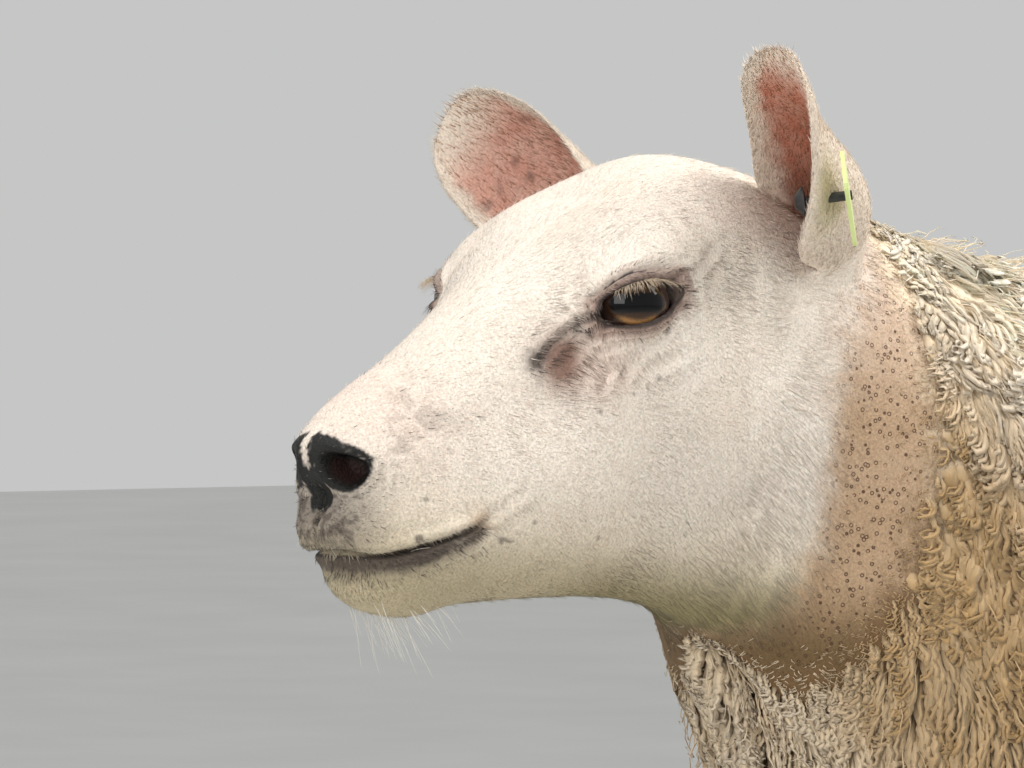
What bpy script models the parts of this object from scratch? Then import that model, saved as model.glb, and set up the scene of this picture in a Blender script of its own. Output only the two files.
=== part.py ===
"""A life-size standing sheep of a heavy, short-necked meat breed, in its fleece, head raised and turned to its left.

The sheep faces -Y and +Z is up. One long loft runs from the nose to the rump. It is parted into head, neck and
trunk by thin cuts, and the legs, tail, ears, eyes, hooves and ear tag are fitted to it with a small gap.
"""

import math

import bmesh
import bpy
import numpy as np
from mathutils import Matrix, Vector

MM = 0.001
GAP = 0.4 * MM  # clearance between neighbouring pieces
NOSE_Y = -0.800  # the nose tip before the neck turns
NOSE_Z = 0.735
HEAD_TURN = math.radians(19.0)  # how far the head looks to the sheep's left
TURN_FROM, TURN_TO = 560.0, 230.0  # mm behind the nose between which the neck bends
RING_SIDES = 32

# Rings of the long loft, in mm behind and above the nose tip. Each ring is stated by the point where it meets
# the back line and the point where it meets the belly line, the height of its widest place as a share of the way
# up, its half width there, and how square it is above and below (2 is an ellipse).
#        back line     belly line    widest  half   square
#        behind up     behind up     at      width  top  low
HEAD_RINGS = (
    ((6.0, -28), (6.0, -28), 0.50, 0, 2.0, 2.0),  # lips, where the loft closes
    ((2.0, -13), (9, -43), 0.50, 9, 2.0, 2.0),
    ((0.5, 0), (16, -56), 0.50, 16, 2.0, 2.1),
    ((6, 12), (28, -67), 0.50, 23.5, 2.0, 2.2),  # nostrils
    ((16, 21), (43, -73), 0.50, 30, 2.1, 2.2),
    ((32, 30), (60, -75), 0.48, 35, 2.2, 2.1),  # chin
    ((50, 39), (84, -71), 0.46, 39, 2.2, 2.0),  # corner of the mouth
    ((75, 54), (112, -70), 0.45, 44.5, 2.2, 2.0),
    ((103, 72), (143, -70), 0.52, 52, 2.3, 1.9),  # face in front of the eyes
    ((130, 89), (172, -71), 0.72, 61, 2.6, 1.7),
    ((158, 106), (196, -74), 0.78, 68, 2.9, 1.7),  # eyes and brow
    ((185, 119), (216, -80), 0.74, 66, 2.7, 1.9),
    ((213, 126), (234, -90), 0.68, 65, 2.4, 2.1),  # poll and throat
)
NECK_RINGS = (
    ((250, 122), (250, -106), 0.62, 70, 2.2, 2.1),
    ((300, 107), (264, -135), 0.58, 80, 2.1, 2.1),
    ((360, 92), (281, -170), 0.55, 95, 2.1, 2.1),
    ((430, 76), (312, -220), 0.52, 120, 2.1, 2.1),
)
TRUNK_RINGS = (
    ((510, 50), (352, -277), 0.50, 150, 2.1, 2.1),
    ((590, 18), (390, -340), 0.50, 178, 2.2, 2.2),  # withers and brisket
    ((660, 10), (480, -395), 0.48, 195, 2.3, 2.2),
    ((740, 8), (620, -425), 0.47, 205, 2.3, 2.2),
    ((840, 5), (780, -438), 0.46, 213, 2.4, 2.2),
    ((940, 4), (920, -430), 0.46, 216, 2.4, 2.2),
    ((1040, 4), (1050, -405), 0.47, 212, 2.4, 2.2),
    ((1130, -2), (1150, -370), 0.50, 200, 2.3, 2.2),
    ((1200, -20), (1215, -320), 0.52, 175, 2.2, 2.2),
    ((1245, -65), (1255, -245), 0.54, 125, 2.1, 2.1),
    ((1262, -150), (1262, -150), 0.50, 0, 2.0, 2.0),  # rump, where the loft closes
)


def catmull_rom(rows, steps):
    """The smooth curve through the rows at the given steps, where step 2.5 is half way from row 2 to row 3."""
    steps = np.asarray(steps, float)
    low = np.clip(steps.astype(int), 0, len(rows) - 4)
    t = (steps - low)[:, None]
    a, b, c, d = (rows[low + i] for i in range(4))
    return 0.5 * (2 * b + (c - a) * t + (2 * a - 5 * b + 4 * c - d) * t**2 + (3 * b - a - 3 * c + d) * t**3)


def loft_rows():
    """The ring table as an array, with one more row past each closed end, where the loft has turned inside out."""
    table = [[*back, *belly, widest, half, top, low] for back, belly, widest, half, top, low
             in HEAD_RINGS + NECK_RINGS + TRUNK_RINGS]
    rows = np.array(table, float)

    def beyond(row):
        return np.concatenate([row[2:4], row[0:2], row[4:5], -row[5:6], row[6:8]])

    return np.vstack([beyond(rows[1]), rows, beyond(rows[-2])])


def body_rings(steps, sides=RING_SIDES):
    """Points of the loft's rings as an array of steps x sides x (side, behind, up), in mm.

    A ring is two half superellipses that meet at its widest place: side = half width * |sin a| ** (2 / n), and the
    height follows |cos a| ** (2 / n), with a running once around from the back line.
    """
    row = catmull_rom(loft_rows(), steps)
    back, belly, widest, half = row[:, None, 0:2], row[:, None, 2:4], row[:, 4:5], row[:, 5:6]
    a = np.arange(sides) * 2 * math.pi / sides
    square = np.where(np.cos(a) >= 0, row[:, 6:7], row[:, 7:8])
    side = half * np.sign(np.sin(a)) * np.abs(np.sin(a)) ** (2 / square)
    rise = np.abs(np.cos(a)) ** (2 / square)
    share = np.where(np.cos(a) >= 0, widest + (1 - widest) * rise, widest * (1 - rise))
    plane = belly + (back - belly) * share[..., None]
    return np.concatenate([side[..., None], plane], axis=2)


def placed(points):
    """Turns (side, behind, up) in mm into metres in the world, bending what lies ahead of the shoulder to the left.

    The neck's middle line turns evenly from straight at TURN_FROM to HEAD_TURN at TURN_TO.
    """
    along = np.linspace(1300.0, -60.0, 1361)
    t = np.clip((TURN_FROM - along) / (TURN_FROM - TURN_TO), 0, 1)
    angle = HEAD_TURN * t * t * (3 - 2 * t)
    step = along[0] - along[1]
    middle_x = np.cumsum(np.sin(angle)) * step
    middle_y = along[0] - np.cumsum(np.cos(angle)) * step
    side, behind, up = np.moveaxis(np.asarray(points, float), -1, 0)
    bend = np.interp(behind, along[::-1], angle[::-1])
    x = np.interp(behind, along[::-1], middle_x[::-1]) + side * np.cos(bend)
    y = np.interp(behind, along[::-1], middle_y[::-1]) + side * np.sin(bend)
    return np.stack([x * MM, NOSE_Y + y * MM, NOSE_Z + up * MM], axis=-1)


def material(name, colour, roughness):
    """A plain Principled finish in the part's colour."""
    made = bpy.data.materials.new(name)
    made.use_nodes = True
    shader = made.node_tree.nodes["Principled BSDF"]
    shader.inputs["Base Color"].default_value = (*colour, 1.0)
    shader.inputs["Roughness"].default_value = roughness
    shader.inputs["Metallic"].default_value = 0.0
    made.diffuse_color = (*colour, 1.0)
    return made


def add_object(name, form, finish, whole):
    """Makes a smooth-shaded mesh object from a bmesh, parented to the whole sheep."""
    bmesh.ops.recalc_face_normals(form, faces=form.faces)
    if form.calc_volume(signed=True) < 0:
        bmesh.ops.reverse_faces(form, faces=form.faces)
    mesh = bpy.data.meshes.new(name)
    form.to_mesh(mesh)
    form.free()
    mesh.shade_smooth()
    mesh.set_sharp_from_angle(angle=math.radians(50))
    mesh.materials.append(finish)
    thing = bpy.data.objects.new(name, mesh)
    bpy.context.scene.collection.objects.link(thing)
    thing.parent = whole
    return thing


def loft(name, rings, finish, whole, crescent=False):
    """A closed body through rings of points in metres.

    Each end is closed by a fan to its middle, or, where the rings are crescents, by a strip between their arcs.
    """
    form = bmesh.new()
    loops = [[form.verts.new(point) for point in ring] for ring in rings]
    for one, two in zip(loops, loops[1:]):
        for i in range(len(one)):
            j = (i + 1) % len(one)
            form.faces.new((one[i], one[j], two[j], two[i]))
    for ring, loop in ((rings[0], loops[0]), (rings[-1], loops[-1])):
        if crescent:
            for i in range(len(loop) // 2 - 1):
                form.faces.new((loop[i], loop[i + 1], loop[-2 - i], loop[-1 - i]))
        else:
            middle = form.verts.new(np.mean(ring, axis=0))
            for i in range(len(loop)):
                form.faces.new((loop[i], loop[(i + 1) % len(loop)], middle))
    return add_object(name, form, finish, whole)


def cutter_from(thing, gap):
    """A hidden copy of a piece, grown by the gap, for cutting its neighbours clear of it."""
    copy = bpy.data.objects.new(thing.name + "_clearance", thing.data)
    bpy.context.scene.collection.objects.link(copy)
    copy.parent = thing.parent
    copy.location = thing.location
    copy.rotation_euler = thing.rotation_euler
    grow = copy.modifiers.new("grow", "DISPLACE")
    grow.strength, grow.mid_level = gap, 0.0
    hide(copy)
    return copy


def hide(thing):
    """Keeps a cutter out of the render and out of the part."""
    thing.hide_render = True
    thing.display_type = "WIRE"


def cut(thing, cutter):
    """Takes the cutter away from a piece."""
    boolean = thing.modifiers.new("cut", "BOOLEAN")
    boolean.operation, boolean.object = "DIFFERENCE", cutter


# ---- head, neck and trunk ------------------------------------------------------------------------------------

HEAD_STEPS = (*np.arange(0.25, 4.0, 0.36), *np.arange(4.0, 13.0, 0.42), 13.3)
NECK_STEPS = (13.308, *np.arange(13.8, 16.9, 0.58), 17.0)
TRUNK_STEPS = (17.002, *np.arange(17.5, 27.0, 0.62), 26.85)

EYE_AT = (52.0, 147.0, 62.0)
EYE_RADIUS = 14.5
NOSTRIL_AT = (18.0, 9.5, -9.0)
NOSTRIL_RADII = (11.5, 6.5, 8.0)
NOSTRIL_TURN = math.radians(54.0)  # how far the nostril's length swings back from straight across the nose
# The line of the mouth from the middle of the lips to its corner, behind and above the nose tip.
MOUTH_LINE = ((9, -45.5), (13, -46), (22, -45.5), (38, -42.5), (56, -37.5), (68, -34), (75, -31))
MOUTH_DEEP, MOUTH_OPEN = 6.0, 1.7

# Rounded rises and hollows of the head: side, behind, up, reach and rise, in mm, on both sides of the face.
HEAD_FORMS = (
    (63, 140, 84, 17, 5.0),  # brow ridge
    (67, 149, 60, 13, -4.5),  # eye socket
    (62, 196, 70, 20, -4.0),  # temple
    (56, 196, 8, 34, 5.0),  # chewing muscle
    (42, 112, 22, 24, -4.0),  # hollow of the face
    (24, 12, 2, 11, 3.0),  # rim of the nostril
    (20, 40, -66, 14, 2.0),  # chin
)


def shaped_head(points):
    """Raises or sinks the head's points away from the head's middle by a bell curve around each form."""
    shaped = points.copy()
    middle = points.mean(axis=1, keepdims=True)
    away = points - middle
    away /= np.maximum(np.linalg.norm(away, axis=-1, keepdims=True), 1e-6)
    for side, behind, up, reach, rise in HEAD_FORMS:
        for hand in (-1, 1):
            distance = np.linalg.norm(points - np.array([hand * side, behind, up]), axis=-1)
            shaped += away * (rise * np.exp(-((distance / reach) ** 2)))[..., None]
    return shaped


def eye_ball(name, hand, finish, whole):
    """One eyeball, a sphere set in its socket."""
    form = bmesh.new()
    bmesh.ops.create_uvsphere(form, u_segments=16, v_segments=10, radius=EYE_RADIUS * MM)
    ball = add_object(name, form, finish, whole)
    ball.location = placed((hand * EYE_AT[0], EYE_AT[1], EYE_AT[2]))
    return ball


def nostril_cutter(hand, finish, whole):
    """A hidden ellipsoid that hollows a nostril."""
    form = bmesh.new()
    bmesh.ops.create_uvsphere(form, u_segments=14, v_segments=8, radius=1.0)
    bmesh.ops.scale(form, verts=form.verts, vec=Vector(NOSTRIL_RADII) * MM)
    hollow = add_object("nostril_cutter", form, finish, whole)
    side, behind, up = NOSTRIL_AT
    hollow.location = placed((hand * side, behind, up))
    hollow.rotation_euler = (0, 0, HEAD_TURN + hand * NOSTRIL_TURN)
    hide(hollow)
    return hollow


def mouth_cutter(finish, whole):
    """A hidden diamond-sectioned rod laid along the lips from corner to corner, which cuts the line of the mouth."""
    skin = shaped_head(body_rings(np.linspace(0.3, 9, 300), 180)).reshape(-1, 3)
    skin = skin[skin[:, 0] > 0]
    half = np.array([skin[np.argmin(np.hypot(skin[:, 1] - f, skin[:, 2] - u))] for f, u in MOUTH_LINE])
    half[0, 0] = 0.0
    line = np.vstack([half[:0:-1] * (-1, 1, 1), half])
    out = line - np.array([0.0, 32.0, 0.0]) * (1, 1, 0)
    out[:, 1] -= 0.8 * line[:, 1]
    out[:, 2] = 0.0
    out /= np.linalg.norm(out, axis=1, keepdims=True)
    size = np.ones((len(line), 1))
    size[[0, -1]] = 0.3
    rise = np.array([0.0, 0.0, MOUTH_OPEN]) * size
    reach = out * MOUTH_DEEP * size
    rings = np.stack([line + reach, line + rise, line - reach, line - rise], axis=1)
    rod = loft("mouth_cutter", placed(rings), finish, whole)
    hide(rod)
    return rod


# ---- ears ----------------------------------------------------------------------------------------------------

EAR_LENGTH = 122.0
EAR_THICK = 3.6
EAR_ROOT = (52.0, 258.0, 82.0)
# Share of the way to the tip, half the width laid flat in mm, how far each edge curls round in degrees, and how
# deep the hollow is as a share of a round one.
EAR_LEAF = (
    (-0.20, 24, 110, 1.30),
    (0.00, 28, 110, 1.40),
    (0.10, 36, 112, 1.50),
    (0.20, 43, 106, 1.50),
    (0.31, 46, 98, 1.45),
    (0.43, 45, 88, 1.35),
    (0.56, 42, 75, 1.20),
    (0.70, 37, 61, 1.05),
    (0.83, 31, 51, 1.00),
    (0.93, 23, 43, 1.00),
    (0.98, 14, 38, 1.00),
    (1.00, 4, 34, 1.00),
)
EAR_ACROSS = 9
# Where each ear points, and where its hollow faces at the root and at the tip: sideways from the head, forward
# and up.
EAR_POSES = {
    "left": ((0.38, 0.56, 0.74), (-0.52, 0.85, -0.30), (-0.25, 0.91, -0.30)),
    "right": ((0.82, 0.40, 0.56), (-0.43, 0.88, -0.1), (-0.43, 0.88, -0.1)),
}
EAR_BOWS = {"left": 21.0, "right": -3.0}  # how far behind its line each ear's lower half lies


def eased(value, low, high):
    """0 below low, 1 above high, and an even S curve between them."""
    t = min(max((value - low) / (high - low), 0.0), 1.0)
    return t * t * (3 - 2 * t)


def ear_axes(hand, pose, u):
    """The ear's own directions, each of length 1, at a share u of its way to the tip.

    They are towards its tip, out of its hollow side, which turns a little on the way up, and across it.
    """
    along, low, high = (np.array([hand * side, -forward, up]) for side, forward, up in EAR_POSES[pose])
    along /= np.linalg.norm(along)
    hollow = low + (high - low) * eased(u, 0.2, 0.9)
    hollow -= along * (hollow @ along)
    hollow /= np.linalg.norm(hollow)
    return along, hollow, np.cross(along, hollow)


def ear_middle(hand, pose, u):
    """The point that an ear's cross section stands on: the ear bows back low down, and forward into the head."""
    along, hollow, over = ear_axes(hand, pose, u)
    bow = 5 * math.sin(math.pi * min(max(u, 0.0), 1.0)) + 8
    bow += EAR_BOWS[pose] * (1 - eased(u, 0.2, 0.8)) * eased(u, -0.3, 0.1)
    root = np.array([hand * EAR_ROOT[0], EAR_ROOT[1], EAR_ROOT[2]])
    return root + along * (EAR_LENGTH * u - 6) - hollow * bow


def ear_rings(hand, pose):
    """Crescent rings of an ear from its root to its tip, as (side, behind, up) in mm.

    A crescent is an arc of the ear's width, curled tight at the root and open at the tip, with the same arc
    again one thickness inside it.
    """
    v = np.linspace(-1, 1, EAR_ACROSS)
    rings = []
    for u, half, curl, deep in EAR_LEAF:
        along, hollow, over = ear_axes(hand, pose, u)
        radius = half / math.radians(curl)
        turn = math.radians(curl) * v
        thick = EAR_THICK * (1 - 0.45 * v**2) * (1 - 0.35 * max(u, 0.0))
        root = ear_middle(hand, pose, u)
        arcs = []
        for r in (np.full(EAR_ACROSS, radius), radius - thick):
            rise = deep * (radius - r * np.cos(turn))
            arcs.append(root + (r * np.sin(turn))[:, None] * over + rise[:, None] * hollow)
        rings.append(np.vstack([arcs[0], arcs[1][::-1]]))
    return rings


# ---- legs ----------------------------------------------------------------------------------------------------

# Rings of a leg from the body down: height, how far the middle lies behind the nose, how far out to the side,
# half depth from front to back, half width. All in mm, heights above the ground.
FORE_LEG = (
    (560, 545, 92, 78, 62),
    (480, 575, 112, 84, 62),
    (410, 600, 116, 66, 52),
    (360, 592, 112, 44, 38),
    (315, 580, 108, 31, 29),
    (285, 575, 106, 27, 26),
    (262, 573, 105, 28, 27),  # knee
    (235, 574, 104, 24, 23),
    (200, 577, 104, 18, 17.5),
    (150, 578, 104, 17, 16.5),
    (112, 577, 104, 20, 19),
    (92, 574, 104, 24, 22.5),  # fetlock
    (72, 564, 104, 20, 21),
    (55, 555, 104, 22, 24),
    (44, 550, 104, 26, 27.5),
)
HIND_LEG = (
    (600, 1110, 108, 110, 82),
    (520, 1092, 128, 132, 82),
    (455, 1082, 130, 118, 72),  # stifle
    (400, 1098, 124, 86, 56),
    (350, 1122, 118, 56, 40),
    (310, 1142, 114, 38, 29),
    (278, 1156, 111, 33, 24),
    (250, 1160, 110, 32, 24),  # hock
    (222, 1154, 110, 25, 21),
    (190, 1148, 110, 19, 17.5),
    (145, 1144, 110, 18, 17),
    (110, 1142, 110, 20.5, 19.5),
    (92, 1138, 110, 24, 22.5),  # fetlock
    (72, 1128, 110, 20, 21),
    (55, 1119, 110, 22, 24),
    (44, 1114, 110, 26, 27.5),
)
LEG_SIDES = 12
FETLOCK = -4  # the fetlock's row, counted from the bottom

# A claw of a hoof: height above the ground, toe and heel ahead of and behind the leg's middle, half width. In mm.
CLAW_RINGS = (
    (0, 47, 27, 12.2),
    (6, 46.5, 28, 13.0),
    (20, 39, 28, 13.2),
    (34, 31, 27, 13.0),
    (43.4, 26, 25, 12.6),
)
CLAW_SPREAD = 14.4  # from the leg's middle line to a claw's middle
DEWCLAW_AT = (11.0, 12.0, 74.0)  # out from the leg's middle, behind the fetlock's middle, above the ground
DEWCLAW_RADII = (6.5, 6.0, 11.0)
# Rings of the tail: how far behind the nose, above the ground, half width, half depth.
TAIL_RINGS = (
    (1215, 668, 30, 24),
    (1242, 655, 34, 26),
    (1268, 625, 35, 25),
    (1284, 580, 35, 23),
    (1290, 530, 33, 21),
    (1290, 485, 30, 19),
    (1286, 450, 24, 16),
    (1282, 430, 12, 9),
)


def claw_mesh(name, finish, whole):
    """One claw: D-shaped rings, flat towards its twin, from the sole up to the coronet."""
    a = np.arange(10) * 2 * math.pi / 10
    rings = []
    for height, toe, heel, wide in CLAW_RINGS:
        reach = np.where(np.cos(a) > 0, toe, heel)
        x = wide * np.sign(np.sin(a)) * np.abs(np.sin(a)) ** 0.8
        rings.append(np.stack([x, -reach * np.cos(a), np.full(10, float(height))], axis=1) * MM)
    return loft(name, rings, finish, whole)


def dewclaw(name, hand, row, out, finish, whole):
    """One of the two small horn knobs behind a fetlock."""
    form = bmesh.new()
    bmesh.ops.create_icosphere(form, subdivisions=1, radius=1.0)
    bmesh.ops.scale(form, verts=form.verts, vec=Vector(DEWCLAW_RADII) * MM)
    knob = add_object(name, form, finish, whole)
    x = hand * (row[2] + out * DEWCLAW_AT[0])
    knob.location = (x * MM, NOSE_Y + (row[1] + DEWCLAW_AT[1]) * MM, DEWCLAW_AT[2] * MM)
    knob.rotation_euler = (math.radians(-15), 0, 0)
    return knob


def tail_rings():
    """Oval rings down the hanging tail, as points in metres."""
    a = np.arange(LEG_SIDES) * 2 * math.pi / LEG_SIDES
    line = np.array(TAIL_RINGS, float)
    lean = np.gradient(line[:, 0:2], axis=0)
    lean /= np.linalg.norm(lean, axis=1, keepdims=True)
    rings = []
    for (behind, height, wide, deep), (run, drop) in zip(line, lean):
        x = wide * np.sin(a)
        y = behind - drop * deep * np.cos(a)
        rings.append(np.stack([x * MM, NOSE_Y + y * MM, (height + run * deep * np.cos(a)) * MM], axis=1))
    return rings


# ---- ear tag -------------------------------------------------------------------------------------------------

TAG_SHARE, TAG_ROUND = 0.48, 60.0  # how far up the ear, and degrees round its back towards the outer edge
TAG_LEAN = 22.0  # degrees from straight out of the ear's back to the pin, towards the outer edge
TAG_PANEL = (26.0, 39.0, 1.8)  # across, along and thick
TAG_PANEL_AT = (-8.0, 5.5, 6.9)  # the plate's middle from where the pin leaves the ear
TAG_PIN = 2.2
# The button and its pin: radius, and height above the back of the ear. Below 0 is inside the ear.
TAG_BUTTON = ((0.0, -17.0), (3.0, -16.6), (6.6, -13.4), (6.6, -12.4), (TAG_PIN, -11.8), (TAG_PIN, 8.6), (0.0, 8.6))


def tag_place():
    """Where the tag pierces the left ear, with the directions across it, along the ear, and out of its back."""
    along, hollow, over = ear_axes(1, "left", TAG_SHARE)
    table = np.array(EAR_LEAF)
    half, curl, deep = (np.interp(TAG_SHARE, table[:, 0], table[:, i]) for i in (1, 2, 3))
    radius = half / math.radians(curl)
    turn = math.radians(TAG_ROUND)
    at = ear_middle(1, "left", TAG_SHARE)
    at = at + radius * math.sin(turn) * over + deep * radius * (1 - math.cos(turn)) * hollow
    lean = math.radians(TAG_LEAN)
    outward = math.sin(lean) * over - math.cos(lean) * hollow
    across = np.cross(along, outward)
    matrix = Matrix([[*column, 0.0] for column in (across, along, outward)] + [[0, 0, 0, 1]]).transposed()
    return Matrix.Translation(placed(at)) @ Matrix.Rotation(HEAD_TURN, 4, "Z") @ matrix


def tag_button(finish, whole):
    """The round button inside the ear with its pin through it, turned about the pin."""
    turns = 14
    form = bmesh.new()
    rings = []
    for radius, height in TAG_BUTTON[1:-1]:
        angles = np.arange(turns) * 2 * math.pi / turns
        rings.append([form.verts.new(Vector((radius * math.cos(a), radius * math.sin(a), height)) * MM)
                      for a in angles])
    ends = [form.verts.new(Vector((0, 0, TAG_BUTTON[i][1])) * MM) for i in (0, -1)]
    for one, two in zip(rings, rings[1:]):
        for i in range(turns):
            form.faces.new((one[i], one[(i + 1) % turns], two[(i + 1) % turns], two[i]))
    for ring, end in zip((rings[0], rings[-1]), ends):
        for i in range(turns):
            form.faces.new((ring[i], ring[(i + 1) % turns], end))
    button = add_object("ear_tag_button", form, finish, whole)
    button.matrix_world = tag_place()
    return button


def tag_panel(finish, whole):
    """The blank plate behind the back of the ear, a box with its upright edges bevelled round."""
    form = bmesh.new()
    bmesh.ops.create_cube(form, size=1.0)
    bmesh.ops.scale(form, verts=form.verts, vec=Vector(TAG_PANEL) * MM)
    upright = [edge for edge in form.edges if abs(edge.verts[0].co.z - edge.verts[1].co.z) > 1e-6]
    bmesh.ops.bevel(form, geom=upright, offset=5 * MM, segments=3, affect="EDGES", profile=0.5)
    bmesh.ops.translate(form, verts=form.verts, vec=Vector(TAG_PANEL_AT) * MM)
    panel = add_object("ear_tag_panel", form, finish, whole)
    panel.matrix_world = tag_place()
    return panel


# ---- the whole sheep -----------------------------------------------------------------------------------------

def leg_with_foot(name, rows, hand, side, shank, horn, trunk, whole):
    """A leg, its two claws and its two dewclaws."""
    table = np.array(rows, float)
    a = np.arange(LEG_SIDES) * 2 * math.pi / LEG_SIDES
    rings = []
    for height, behind, out, deep, wide in table:
        x = hand * out + wide * np.sin(a)
        y = behind + deep * np.cos(a)
        rings.append(np.stack([x * MM, NOSE_Y + y * MM, np.full(LEG_SIDES, height * MM)], axis=1))
    leg = loft(f"{name}leg_{side}", rings, shank, whole)
    cut(leg, cutter_from(trunk, GAP))
    fetlock = rows[FETLOCK]
    for claw_side, out in (("inner", -1), ("outer", 1)):
        claw = claw_mesh(f"hoof_{name}_{side}_{claw_side}", horn, whole)
        x = hand * (rows[-1][2] + out * CLAW_SPREAD)
        claw.location = (x * MM, NOSE_Y + rows[-1][1] * MM, 0.0)
        knob = dewclaw(f"dewclaw_{name}_{side}_{claw_side}", hand, fetlock, out, horn, whole)
        cut(knob, cutter_from(leg, GAP))


def stand_on_origin(whole):
    """Moves the whole sheep so that the bottom centre of its box is at the origin."""
    bpy.context.view_layer.update()
    graph = bpy.context.evaluated_depsgraph_get()
    shown = [thing for thing in bpy.context.scene.objects if thing.type == "MESH" and not thing.hide_render]
    corners = np.array([thing.matrix_world @ Vector(corner) for thing in shown
                        for corner in thing.evaluated_get(graph).bound_box])
    low, high = corners.min(axis=0), corners.max(axis=0)
    middle = (low + high) / 2
    whole.location = (-middle[0], -middle[1], -low[2])


def build():
    """Makes every piece of the sheep and sets its box's bottom centre at the origin."""
    for old in list(bpy.data.objects):
        bpy.data.objects.remove(old)
    whole = bpy.data.objects.new("sheep", None)
    bpy.context.scene.collection.objects.link(whole)
    face = material("face", (0.78, 0.71, 0.63), 0.8)
    wool = material("wool", (0.72, 0.60, 0.45), 0.9)
    ear_skin = material("ear", (0.72, 0.55, 0.47), 0.7)
    shank = material("shank", (0.74, 0.68, 0.60), 0.8)
    horn = material("horn", (0.05, 0.045, 0.04), 0.5)
    eye = material("eye", (0.09, 0.05, 0.025), 0.1)
    tag_black = material("tag_black", (0.01, 0.011, 0.013), 0.3)
    tag_green = material("tag_green", (0.55, 0.66, 0.22), 0.4)

    head = loft("head", placed(shaped_head(body_rings(HEAD_STEPS))), face, whole)
    crown = loft("crown_cutter", placed(shaped_head(body_rings(HEAD_STEPS + NECK_STEPS[1:]))), face, whole)
    hide(crown)
    loft("neck", placed(body_rings(NECK_STEPS)), wool, whole)
    trunk = loft("trunk", placed(body_rings(TRUNK_STEPS)), wool, whole)
    tail = loft("tail", tail_rings(), wool, whole)
    cut(tail, cutter_from(trunk, GAP))
    cut(head, mouth_cutter(face, whole))
    button = tag_button(tag_black, whole)
    panel = tag_panel(tag_green, whole)
    cut(panel, cutter_from(button, GAP))
    for hand, side in ((1, "left"), (-1, "right")):
        ball = eye_ball("eye_" + side, hand, eye, whole)
        cut(head, cutter_from(ball, GAP))
        cut(head, nostril_cutter(hand, face, whole))
        ear = loft("ear_" + side, [placed(ring) for ring in ear_rings(hand, side)], ear_skin, whole, True)
        cut(ear, cutter_from(crown, GAP))
        if side == "left":
            cut(ear, cutter_from(button, GAP))
        for name, rows in (("fore", FORE_LEG), ("hind", HIND_LEG)):
            leg_with_foot(name, rows, hand, side, shank, horn, trunk, whole)
    stand_on_origin(whole)


build()
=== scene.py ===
# %% [markdown]
# # A standing sheep in its fleece
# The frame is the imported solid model: a still, life-size sheep in thirty pieces. Here it gets its looks:
# one skin over its flesh, eyes behind real lids, short hair on the face and shanks, curly wool on the body,
# horn claws, and a finish for the ear tag.

# %% Load the frame
import math

import bpy
import numpy as np
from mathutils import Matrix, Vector


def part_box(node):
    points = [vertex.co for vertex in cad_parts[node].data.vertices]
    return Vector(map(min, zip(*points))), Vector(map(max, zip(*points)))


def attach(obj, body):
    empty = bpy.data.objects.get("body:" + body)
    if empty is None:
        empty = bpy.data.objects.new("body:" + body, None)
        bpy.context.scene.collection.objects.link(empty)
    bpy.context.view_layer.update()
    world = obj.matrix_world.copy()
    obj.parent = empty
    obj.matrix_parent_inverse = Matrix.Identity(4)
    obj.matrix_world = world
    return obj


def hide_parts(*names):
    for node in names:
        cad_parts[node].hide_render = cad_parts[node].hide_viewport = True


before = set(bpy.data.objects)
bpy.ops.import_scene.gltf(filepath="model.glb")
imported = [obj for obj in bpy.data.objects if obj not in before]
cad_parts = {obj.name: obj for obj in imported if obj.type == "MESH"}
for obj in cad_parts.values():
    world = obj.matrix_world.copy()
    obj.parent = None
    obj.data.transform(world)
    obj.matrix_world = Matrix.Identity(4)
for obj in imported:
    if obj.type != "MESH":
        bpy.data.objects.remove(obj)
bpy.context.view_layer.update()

MM = 0.001
SIDES = (("left", 1), ("right", -1))  # the sheep's two sides, and the sign that a distance out to each has
LUCK = np.random.default_rng(417)  # every chance in this lesson is drawn from here, so each run is the same


def in_scene(name, data):
    """A new object in the scene that shows a mesh, a light or a camera."""
    thing = bpy.data.objects.new(name, data)
    bpy.context.scene.collection.objects.link(thing)
    return thing


# %% [markdown]
# ## The camera
# The sheep is seen from its left and a little ahead, through a long lens that flattens the head as a
# portrait does. The point looked at is placed from the head's own box.

# %% Camera
AZIMUTH, ELEVATION = math.radians(65.0), math.radians(2.0)
DISTANCE = 3.71
LENS = 300.0
head_low, head_high = (np.array(corner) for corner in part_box("head"))
look_at = (head_low + head_high) / 2 + (0.049, -0.027, 0.021)
towards = Vector((math.sin(AZIMUTH) * math.cos(ELEVATION),
                  -math.cos(AZIMUTH) * math.cos(ELEVATION),
                  math.sin(ELEVATION)))
camera = in_scene("camera", bpy.data.cameras.new("camera"))
camera.data.lens = LENS
camera.data.clip_end = 200.0
camera.location = Vector(look_at) + towards * DISTANCE
camera.rotation_euler = towards.to_track_quat("Z", "Y").to_euler()
bpy.context.scene.camera = camera
print("camera looks at", np.round(look_at, 3))

# %% [markdown]
# ## Working in a straight body
# The neck bends to the left, and shapes are easier to write on a straight body. So every surface is worked
# out in millimetres as (side, behind, up): out to the left, behind the nose tip, and above it. The last
# step of every piece bends those points and sets them in the frame.

# %% Small curves that everything uses
def smooth(x, low, high):
    """Rises from 0 at low to 1 at high as 3 t^2 - 2 t^3."""
    t = np.clip((np.asarray(x, float) - low) / (high - low), 0.0, 1.0)
    return t * t * (3.0 - 2.0 * t)


def falls(x, low, high):
    """Falls from 1 at low to 0 at high."""
    return 1.0 - smooth(x, low, high)


def bell(distance, reach):
    """A bell curve: exp(-(distance / reach)^2)."""
    return np.exp(-((distance / reach) ** 2))


def unit(arrows):
    """Arrows of length 1."""
    return arrows / np.maximum(np.linalg.norm(arrows, axis=-1, keepdims=True), 1e-9)


def dot(one, two):
    """The dot product of each pair of arrows."""
    return np.sum(one * two, axis=-1)


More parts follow.
